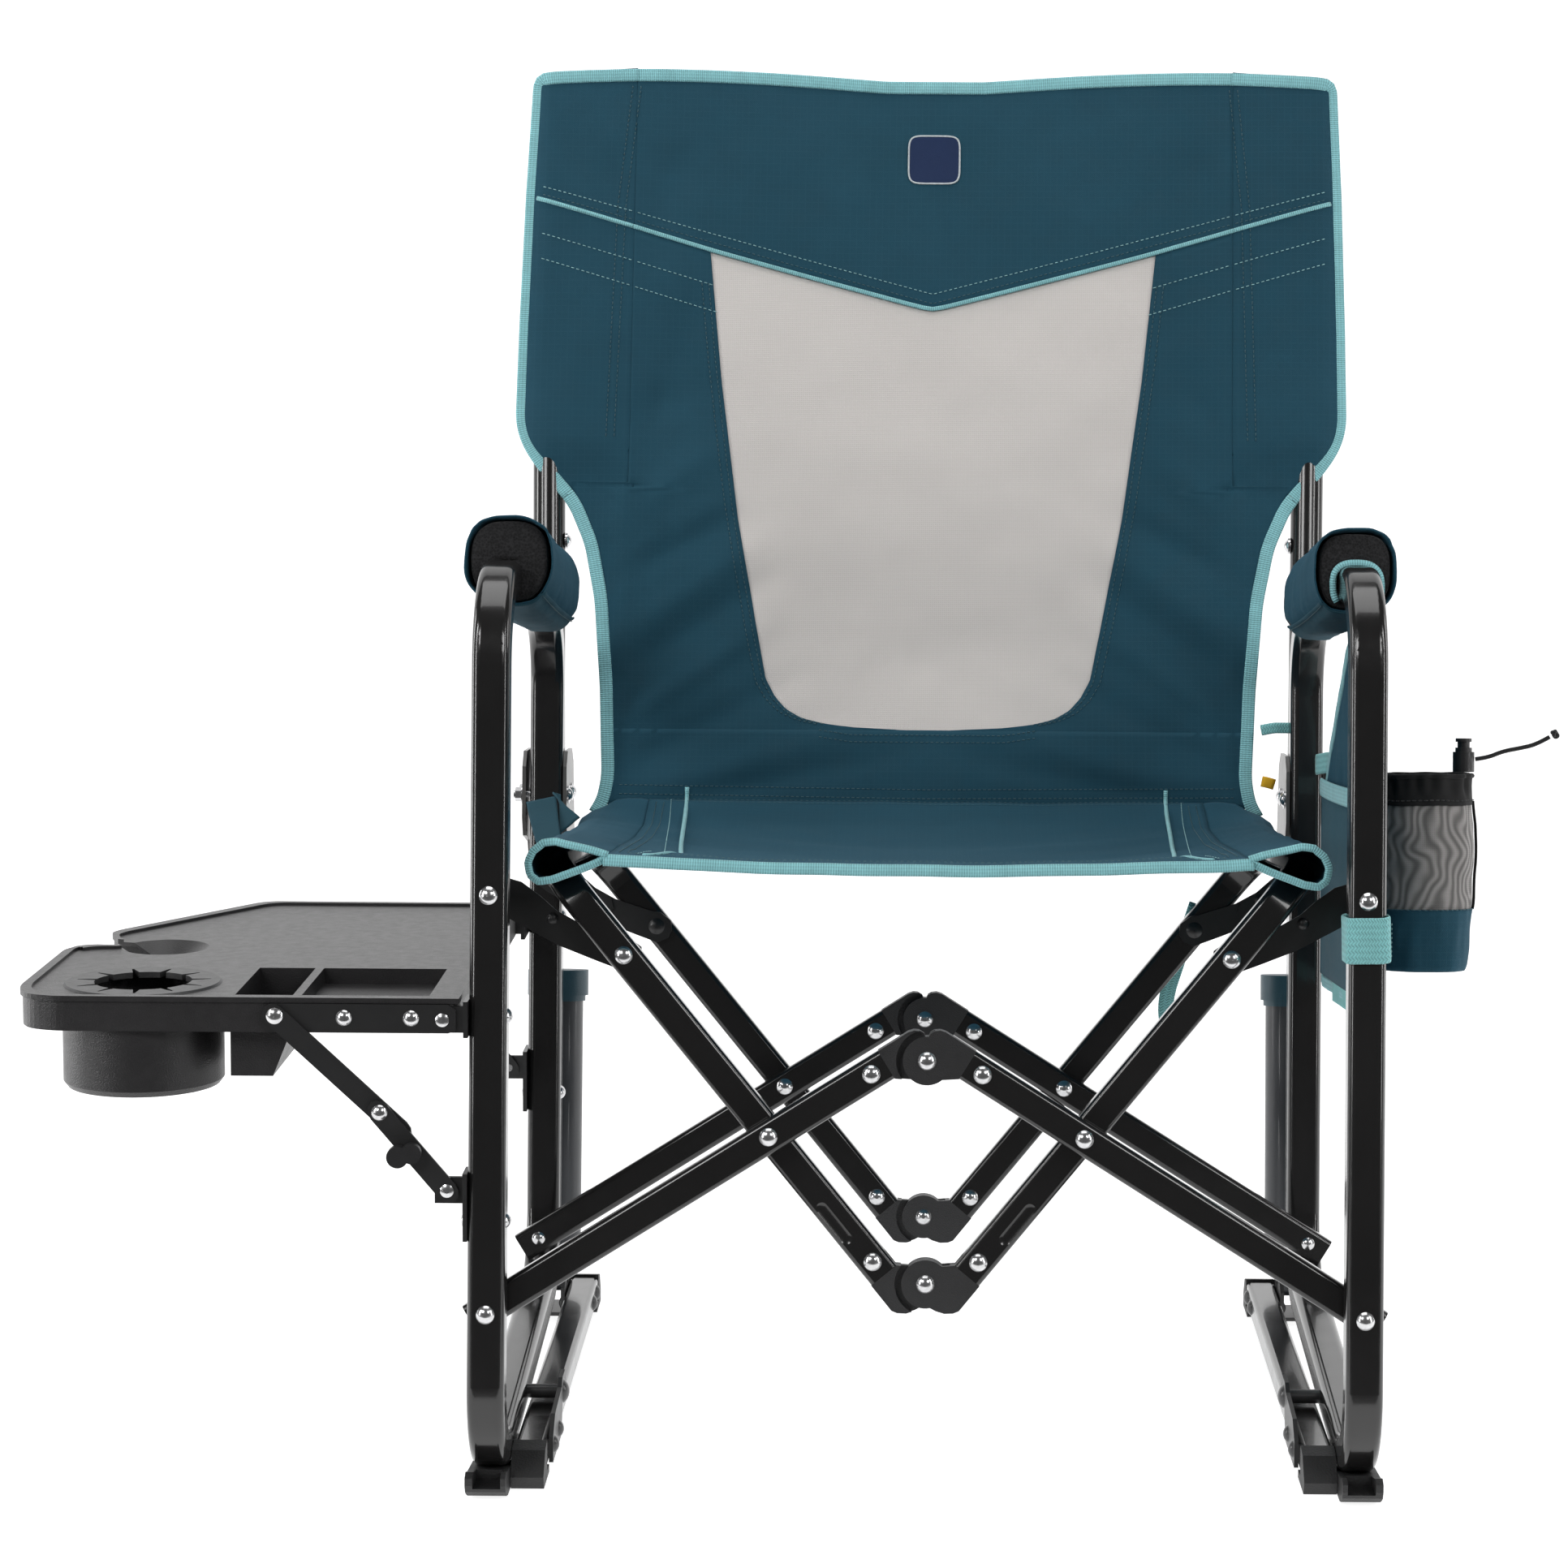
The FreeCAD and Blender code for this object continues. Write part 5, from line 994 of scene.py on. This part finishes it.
for side, sgn in (("right", 1), ("left", -1)):
    def section(ang, y, grow, sgn=sgn, sag=True):
        t = clamp((y - 75.0) / 258.0)
        cx, cz = pad_c(y)
        c, s_ = math.cos(ang), math.sin(ang)
        ex = 0.72 if sgn < 0 else 0.62
        rx, rz = (27.2 + grow, 28.4 + grow) if sgn < 0 else (25.2 + grow, 26.6 + grow)
        if sgn > 0:
            cx, cz = cx + 2.6, cz - 3.0
        x = rx * math.copysign(abs(c) ** ex, c)
        z = rz * math.copysign(abs(s_) ** ex, s_)
        if s_ < 0:
            z *= 1.0 + 0.1 * math.sin(t * math.pi)
            x *= 1.0 - 0.16 * (-s_) ** 1.5
        if sag:
            wr = noise.noise(Vector((c * 1.6 + 2, s_ * 1.6, t * 5.0 + (3 if sgn > 0 else 0)))) * 1.4
            wr += noise.noise(Vector((c * 4, s_ * 4, t * 14.0))) * 0.55
            taper = 1 - 0.10 * smooth((t - 0.86) / 0.14)
            x, z = x * taper + c * wr, z * taper + s_ * wr
        return F(sgn * (cx + x), y, cz + z)

    # foam: rings along, domed and slit end faces
    v, f, uv, rows = [], [], [], []
    seg = 56

    def ring(y, scale, push=0.0):
        row = []
        cx, cz = pad_c(y)
        c0 = F(sgn * cx, y, cz)
        for k in range(seg):
            a = 2 * math.pi * k / seg
            p = section(a, y, -0.6, sag=False)
            p = c0 + (p - c0) * scale
            q = (p - c0) * 1000
            dent = 0.0
            if push:
                lx, lz = q.x * sgn, q.z
                dent = 4.6 * math.exp(-((lx - 1.0) / 8.5) ** 4 - ((lz - 0.5) / 1.1) ** 2) if push < 0 else 0
            n = noise.noise(Vector((q.x / 5, q.z / 5, y))) * 0.5
            row.append(len(v))
            v.append(p + FD(0, 1, 0) * ((dent + n) / 1000) * (-1 if push > 0 else 1))
            uv.append((k / seg * 0.18, y / 1000 + scale * 0.02))
        return row
    steps = [(74.5 + 4.2 * (1 - s_) ** 0 * 0 + 0, s_, -1) for s_ in [0.04 + 0.96 * i / 26 for i in range(26)]]
    for yy, sc_, ps in steps:
        bulge = 2.6 * sc_ ** 6
        rows.append(ring(yy + bulge, sc_, ps))
    for i in range(23):
        rows.append(ring(79.5 + 249.0 * i / 22, 1.0))
    for i in range(9):
        s_ = 1 - 0.97 * i / 8
        rows.append(ring(330.5 + 1.8 * (1 - s_), s_, 1))
    f = grid(rows, closed=True)
    f.append(tuple(rows[0][::-1]))
    f.append(tuple(rows[-1]))
    core = make("arm_foam_" + side, v, f, "foam_black", uv)
    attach(core, "side_" + side)
    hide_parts("arm_pad_" + side)

    b = Build()

    def sleeve_fn(s, t, sgn=sgn):
        a = 2 * math.pi * s + math.pi / 2
        lip = 0.0
        y = lerp(72.6, 334.5, t)
        y += 2.2 * math.sin(a * 2 + 0.6) * (1 - t) + 0.9 * noise.noise(Vector((math.cos(a) * 3, math.sin(a) * 3, 0.5))) * (1 - t)
        g = 0.9 + 1.0 * math.exp(-((t - 0.0) / 0.03) ** 2)
        return section(a, y, g), (s * 0.185, y / 1000)
    b.patch(72, 64, sleeve_fn, flip=sgn > 0)
    cov = b.done("arm_sleeve_" + side, "fabric_teal", thick=0.0012, offset=1.0 if sgn > 0 else 1.0)
    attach(cov, "side_" + side)
    # overlap flap where the sleeve closes, under the outer side
    lo_a, hi_a = (-2.55, -1.45)
    b = Build()
    b.patch(16, 50, lambda s, t, sgn=sgn: (section(lerp(lo_a, hi_a, s) if sgn > 0 else lerp(lo_a, hi_a, s), lerp(71.6, 333, t), 3.0 + 0.8 * math.sin(s * math.pi) + (1.2 if s < 0.1 else 0)), (s * 0.04, lerp(71.6, 333, t) / 1000)))
    flap = b.done("arm_flap_" + side, "fabric_teal_dull", thick=0.0011)
    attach(flap, "side_" + side)
    ln = [(section(lo_a + 0.12, y, 4.4), (section(lo_a + 0.12, y, 8.0) - section(lo_a + 0.12, y, 4.0)).normalized()) for y in range(78, 330, 6)]
    so = stitches("arm_stitch_" + side, [ln], "thread_dark")
    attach(so, "side_" + side)

# turquoise binding that shows round the tube at the right pad's mouth
pts = []
for i in range(29):
    a = lerp(-0.35, 3.75, i / 28)
    cx, cz = W, 630 + SLOPE * 73 - 0.5
    r = 17.2 if a < 2.4 else 17.2 - (a - 2.4) * 1.2
    c, s_ = math.cos(a), math.sin(a)
    p = F(cx + r * math.copysign(abs(c) ** 0.75, c), 72.4, cz + r * math.copysign(abs(s_) ** 0.75, s_) * 0.98)
    pts.append((p, FD(c * 0.4, -1, s_ * 0.4)))
mouth = ribbon("arm_binding_right", pts, 0.0046, 0.0034, "binding", step=0.0025)
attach(mouth, "side_right")

# ------------------------------------------------------------------ organizer panel, its pockets and bindings
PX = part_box("organizer_panel")[0][0] * 1000 - SX + 1.1
ORG = [(20, 328), (20, 604), (60, 603), (120, 601), (198, 598), (224, 582), (298, 538), (370, 484), (384, 468), (384, 332)]


def org_w(y, z):
    return 1.6 * noise.noise(Vector((y / 50.0, z / 60.0, 2.2))) + 0.6 * noise.noise(Vector((y / 17.0, z / 22.0, 4.2)))


top_of = soft_table([(20, 604), (60, 603), (198, 598), (224, 582), (298, 538), (370, 484), (384, 468)], 4.0)
org = Build()
org.patch(60, 50, lambda s, t: (F(PX + org_w(lerp(20, 384, s), lerp(330, 600, t)), lerp(20, 384, s), lerp(330, top_of(lerp(20, 384, s)), t)), (lerp(20, 384, s) / 1000, lerp(330, top_of(lerp(20, 384, s)), t) / 1000)))
organizer = org.done("organizer_cloth", "fabric_teal", thick=0.0013)


def ORG_PT(y, z, off=0.0):
    return F(PX + org_w(y, z) + off, y, z)


NXp = Vector((1, 0, 0))
edge = [(ORG_PT(20, z), Vector((0, -1, 0))) for z in range(330, 604, 6)]
edge = [(ORG_PT(y, top_of(y) - 1), FD(0, 0.3, 1)) for y in range(20, 385, 4)]
o_top = ribbon("organizer_binding_top", [(p, NXp) for p, _ in edge], 0.0095, 0.0034, "binding")
o_rear = ribbon("organizer_binding_rear", [(ORG_PT(382.5, z), NXp) for z in range(330, 468, 4)], 0.0095, 0.0034, "binding")
o_front = ribbon("organizer_binding_front", [(ORG_PT(21.5, z), NXp) for z in range(330, 602, 4)], 0.0095, 0.0034, "binding")
o_foot = ribbon("organizer_binding_foot", [(ORG_PT(y, 331.5), NXp) for y in range(20, 384, 4)], 0.0095, 0.0034, "binding")
# inner pocket with its band, and a deeper outer pocket
ip = Build()
ip.patch(40, 26, lambda s, t: (F(PX - 3.2 - 5.5 * math.sin(s * math.pi) * (0.4 + 0.6 * t) - 0.8 * noise.noise(Vector((s * 5, t * 4, 8))), lerp(26, 376, s), lerp(338, 478 + 5 * s, t)), (lerp(26, 376, s) / 1000, lerp(338, 480, t) / 1000)))
inner_pocket = ip.done("organizer_inner_pocket", "fabric_teal_dull", thick=0.0011)
band = ribbon("organizer_pocket_band", [(F(PX - 3.6 - 5.5 * math.sin(s * math.pi), lerp(26, 376, s), 476 + 5 * s), Vector((-1, 0, 0))) for s in [i / 60 for i in range(61)]], 0.014, 0.003, "binding")
op_ = Build()
op_.patch(30, 26, lambda s, t: (F(PX + 2.6 + 9.0 * math.sin(s * math.pi) ** 0.7 * (0.55 + 0.45 * t) * (1 if t > 0.03 else 0.3) + 0.8 * noise.noise(Vector((s * 4, t * 5, 1))), lerp(196, 372, s), lerp(338, 452 - 10 * s, t)), (lerp(196, 372, s) / 1000, lerp(338, 450, t) / 1000)))
outer_pocket = op_.done("organizer_outer_pocket", "fabric_teal", thick=0.0011)
oband = ribbon("organizer_outer_band", [(F(PX + 3.0 + 9.0 * math.sin(s * math.pi) ** 0.7, lerp(196, 372, s), 450 - 10 * s), NXp) for s in [i / 50 for i in range(51)]], 0.0105, 0.0032, "binding")
flap_b = Build()
flap_b.patch(24, 16, lambda s, t: (F(PX - 2.0 + 1.5 * noise.noise(Vector((s * 4, t * 4, 12))), lerp(40, 300, s), lerp(322.0, 372, t)), (lerp(40, 300, s) / 1000, lerp(322, 372, t) / 1000)))
sheer = flap_b.done("organizer_sheer_hem", "sheer_turquoise", thick=0.0009)
ol, od = [], []
od.append([(ORG_PT(y, top_of(y) - 8, 1.3), NXp) for y in range(28, 378, 5)])
od.append([(ORG_PT(284, z, 1.3), NXp) for z in range(340, 520, 5)])
ol.append([(F(PX + 3.6 + 9.0 * math.sin(s * math.pi) ** 0.7, lerp(198, 370, s), 441 - 10 * s), NXp) for s in [i / 60 for i in range(61)]])
osl = stitches("organizer_stitch_light", ol, "thread_light")
osd = stitches("organizer_stitch_dark", od, "thread_dark")
for o in (organizer, o_top, o_rear, o_front, o_foot, inner_pocket, band, outer_pocket, oband, sheer, osl, osd):
    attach(o, "side_right")
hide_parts("organizer_panel")
# straps that hold the panel's top to the arm tube and its rear to the leg
for i, (yy, zz) in enumerate(((150, 596), (330, 500))):
    o = ribbon("organizer_tie_%d" % i, [(F(PX + 1, yy, zz - 16), NXp), (F(PX + 1.4, yy, zz), NXp), (F(PX, yy + (2 if i == 0 else 40), zz + (14 if i == 0 else 0)), NXp), (F(PX - 6, yy + (3 if i == 0 else 62), zz + (19 if i == 0 else -2)), NXp)], 0.016, 0.0022, "strap_turquoise")
    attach(o, "side_right")
# small strap and yellow tab behind the right rear leg
o = ribbon("rear_tie_right", [(F(262, 424, 524), FD(0, -1, 0)), (F(272, 424, 526), FD(0, -1, 0)), (F(286, 424, 526), FD(0, -1, 0)), (F(300, 424, 525), FD(0, -1, 0))], 0.0085, 0.0024, "strap_turquoise")
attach(o, "side_right")
o = ribbon("rear_tab_right", [(F(263, 426, 484), FD(0, -1, 0)), (F(268, 426, 483), FD(0, -1, 0)), (F(273, 426, 481.5), FD(0, -1, 0))], 0.0085, 0.003, "yellow_tab")
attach(o, "side_right")

# ------------------------------------------------------------------ leg strap: woven band round the right front leg
ringp = []
cx, cy = W, 0.8
for i in range(73):
    a = 2 * math.pi * i / 72
    c, s_ = math.cos(a), math.sin(a)
    ex = 0.34
    x = cx + 14.6 * math.copysign(abs(c) ** ex, c)
    y = cy + 15.6 * math.copysign(abs(s_) ** ex, s_)
    z = 386.5 + 1.2 * math.sin(a + 0.6)
    nrm = FD(c, s_, 0)
    ringp.append((F(x, y, z), nrm))
strap = ribbon("leg_strap_band", ringp, 0.031, 0.0021, "strap_turquoise", step=0.002, profile=12, power=0.35, caps=False)
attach(strap, "side_right")
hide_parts("leg_strap")
sw = stitches("leg_strap_stitch", [[(F(W + 15.4, y, z), NXp) for z in range(374, 400, 3)] for y in (-9, 9)], "thread_light", pitch=0.003, length=0.002)
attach(sw, "side_right")

# ------------------------------------------------------------------ drink pouch
PCX, PCY, PZ0, PH = 346.0, 100.0, 357.0, 140.0
RAD = soft_table([(0.0, 30.0), (0.04, 32.2), (0.12, 33.6), (0.3, 34.6), (0.36, 35.4), (0.55, 37.0), (0.75, 36.4), (0.86, 34.4), (0.93, 32.8), (1.0, 33.6)], 0.01)


def pouch(a, t, grow=0.0, gather=0.0, wr=1.0):
    r = RAD(t) + grow
    c, s_ = math.cos(a), math.sin(a)
    w = wr * (2.0 * noise.noise(Vector((c * 1.5, s_ * 1.5, t * 2.6))) + 0.9 * noise.noise(Vector((c * 5, s_ * 5, t * 7))))
    r += w + gather * math.sin(a * 19 + 2.0 * math.sin(a * 3)) * (0.7 + 0.3 * math.sin(a * 7))
    if c < 0:
        r *= 1 - 0.03 * c * c
    x = PCX + r * c
    y = PCY + r * s_ * 1.0
    drop = smooth((t - 0.5) / 0.5) * (-0.6 * c + 1.1 * noise.noise(Vector((c * 1.8, s_ * 1.8, 4.0))))
    return F(x, y, PZ0 + PH * t - drop)


def pouch_patch(b, t0, t1, nv, grow, gather=None, wr=1.0):
    b.patch(96, nv, lambda s, t: (pouch(2 * math.pi * s, lerp(t0, t1, t), grow, gather(lerp(t0, t1, t)) if gather else 0.0, wr), (s * 0.23, lerp(t0, t1, t) * 0.14)))


b = Build()
pouch_patch(b, 0.30, 0.87, 40, -0.9)
pm = b.done("pouch_net", "pouch_mesh", thick=0.0005)
b = Build()
pouch_patch(b, 0.02, 0.325, 18, 0.0)
b.patch(96, 10, lambda s, t: (F(PCX, PCY, PZ0 + 1.0 + 1.2 * (1 - t)).lerp(pouch(2 * math.pi * s, 0.02), t), (s * 0.23, t * 0.03)))
pb = b.done("pouch_base", "fabric_teal", thick=0.0012)
b = Build()
pouch_patch(b, 0.84, 0.995, 14, 0.0, gather=lambda t: 1.5 * smooth((t - 0.86) / 0.08))
pt = b.done("pouch_mouth", "fabric_black", thick=0.0013)
rim = [(pouch(2 * math.pi * s, 0.985, 0.4, 1.5), Vector((0, 0, 1))) for s in [i / 140 for i in range(141)]]
pr = ribbon("pouch_rim", rim, 0.0036, 0.0036, "fabric_black", step=0.003, profile=8, power=1.0, caps=False)
seam = [(pouch(2 * math.pi * s, 0.325, 0.8), (pouch(2 * math.pi * s, 0.325, 4) - pouch(2 * math.pi * s, 0.325, 0)).normalized()) for s in [i / 120 for i in range(121)]]
ps1 = stitches("pouch_stitch", [seam], "thread_dark", pitch=0.004)
ps2 = stitches("pouch_stitch_top", [[(pouch(2 * math.pi * s, 0.865, 1.2, 0.3), (pouch(2 * math.pi * s, 0.865, 4) - pouch(2 * math.pi * s, 0.865, 0)).normalized()) for s in [i / 120 for i in range(121)]]], "cord_black", pitch=0.004)
# vertical side binding of the net
sb = ribbon("pouch_side_binding", [(pouch(0.0, t, 0.9), NXp) for t in [lerp(0.32, 0.86, i / 20) for i in range(21)]], 0.006, 0.0016, "fabric_black", step=0.004)
for o in (pm, pb, pt, pr, ps1, ps2, sb):
    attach(o, "side_right")
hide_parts("drink_pouch")

# ------------------------------------------------------------------ drawcord and its knot
ROUTE = [(382.2, 96.0, 506.8), (391.0, 95.4, 508.0), (401.0, 94.6, 512.4), (413.5, 94.4, 514.8), (424.5, 93.4, 517.4), (433.5, 92.0, 522.8)]
cu = bpy.data.curves.new("drawcord_line", "CURVE")
cu.dimensions = "3D"
sp = cu.splines.new("NURBS")
sp.points.add(len(ROUTE) - 1)
for p, q in zip(sp.points, ROUTE):
    w = F(*q)
    p.co = (w.x, w.y, w.z, 1)
sp.order_u = 3
sp.use_endpoint_u = True
cu.bevel_depth = 0.0015
cu.bevel_resolution = 4
cu.resolution_u = 12
cu.materials.append(MAT["cord_black"])
cord_o = bpy.data.objects.new("drawcord_line", cu)
bpy.context.scene.collection.objects.link(cord_o)
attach(cord_o, "side_right")
# overhand knot
e = F(*ROUTE[-1])
d = (e - F(*ROUTE[-2])).normalized()
kc = e + d * 0.00415
up = Vector((0, 0, 1))
sd = d.cross(up).normalized()
up = sd.cross(d).normalized()
kp = []
for i in range(97):
    a = 2 * math.pi * i / 96
    x = (math.sin(a) + 2 * math.sin(2 * a)) * 0.00082
    y = (math.cos(a) - 2 * math.cos(2 * a)) * 0.00082
    z = -math.sin(3 * a) * 0.0012
    kp.append((kc + sd * x + up * y + d * z, (sd * x + up * y + d * z).normalized()))
kn = ribbon("drawcord_knot", kp, 0.0027, 0.0027, "cord_black", step=0.0006, profile=10, power=1.0, caps=False)
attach(kn, "side_right")
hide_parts("cord_knot")
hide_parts("drawcord")

# ------------------------------------------------------------------ turquoise carry strap behind the rear right seat bar
cs = [(F(211, 401, 389), FD(0, -1, 0)), (F(197, 402, 346), FD(0, -1, 0)), (F(186.5, 402, 314), FD(0, -1, 0)), (F(189, 403, 290), FD(0, -1, 0))]
o = ribbon("carry_strap", round_line(cs, 2), 0.012, 0.0018, "strap_turquoise")
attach(o, "seat_right")

# ------------------------------------------------------------------ stage: pale floor and curved backdrop
m, nt, bs = new_mat("stage_white")
bs.inputs["Base Color"].default_value = (0.5, 0.5, 0.5, 1)
bs.inputs["Emission Color"].default_value = (1, 1, 1, 1)
bs.inputs["Emission Strength"].default_value = 0.86
bs.inputs["Roughness"].default_value = 0.9
bs.inputs["Specular IOR Level"].default_value = 0.1
MAT["stage_white"] = m
rows, v = [], []
prof = [(-0.62, 0.0), (0.6, 0.0), (2.2, 0.0)]
for i in range(1, 13):
    a = math.pi / 2 * i / 12
    prof.append((2.2 + 1.6 * math.sin(a), 1.6 * (1 - math.cos(a))))
prof.append((3.8, 7.0))
for yy, zz in prof:
    rows.append([len(v), len(v) + 1])
    v += [Vector((-7, yy, zz - 0.0002)), Vector((7, yy, zz - 0.0002))]
floor = make("studio_floor", v, grid(rows), "stage_white", [(0, 0)] * len(v))

# ------------------------------------------------------------------ light
world = bpy.data.worlds.new("studio")
world.use_nodes = True
world.node_tree.nodes["Background"].inputs[0].default_value = (1, 1, 1, 1)
world.node_tree.nodes["Background"].inputs[1].default_value = 0.10
bpy.context.scene.world = world


def area(name, loc, target, size, size_y, power, col=(1, 1, 1)):
    li = bpy.data.lights.new(name, "AREA")
    li.shape = "RECTANGLE"
    li.size, li.size_y = size, size_y
    li.energy = power
    li.color = col
    o_ = bpy.data.objects.new(name, li)
    o_.location = loc
    o_.rotation_euler = (Vector(target) - Vector(loc)).to_track_quat("-Z", "Y").to_euler()
    bpy.context.scene.collection.objects.link(o_)
    return o_


area("strip_left", (-2.3, -1.5, 1.2), (0, 0, 0.5), 0.28, 2.2, 26)
area("strip_right", (2.4, -1.3, 1.2), (0, 0, 0.5), 0.2, 2.2, 17)
area("soft_left", (-1.5, -2.6, 2.2), (0, 0, 0.6), 0.9, 0.9, 23)
area("soft_right", (1.7, -2.5, 2.0), (0, 0, 0.6), 0.8, 0.9, 18)
area("top", (0, -0.1, 2.9), (0, 0, 0), 2.0, 1.6, 27)
area("side_left", (-2.6, 0.4, 0.9), (0, 0, 0.5), 0.5, 1.8, 20)
area("side_right", (2.7, 0.4, 0.9), (0, 0, 0.5), 0.5, 1.8, 13)

# ------------------------------------------------------------------ camera
cam_d = bpy.data.cameras.new("camera")
cam = bpy.data.objects.new("camera", cam_d)
bpy.context.scene.collection.objects.link(cam)
ROLL = math.radians(0.42)
right = Vector((1, 0, 0))
up_v = Vector((0, ST, CT))
back_v = -Vector((0, CT, -ST))
r2 = right * math.cos(ROLL) + up_v * math.sin(ROLL)
u2 = up_v * math.cos(ROLL) - right * math.sin(ROLL)
mx = Matrix((r2, u2, back_v)).transposed().to_4x4()
mx.translation = F(-14, -2620, 541)
cam.matrix_world = mx
cam_d.sensor_width = 36.0
cam_d.lens = 4786.0 * 36.0 / 1932.0
cam_d.shift_x = (966.0 - 1120.0) / 1932.0
cam_d.shift_y = (870.0 - 966.0) / 1932.0
cam_d.clip_end = 50
bpy.context.scene.camera = cam
sc_ = bpy.context.scene
sc_.view_settings.view_transform = "Standard"
sc_.view_settings.look = "None"
sc_.view_settings.exposure = 0.0
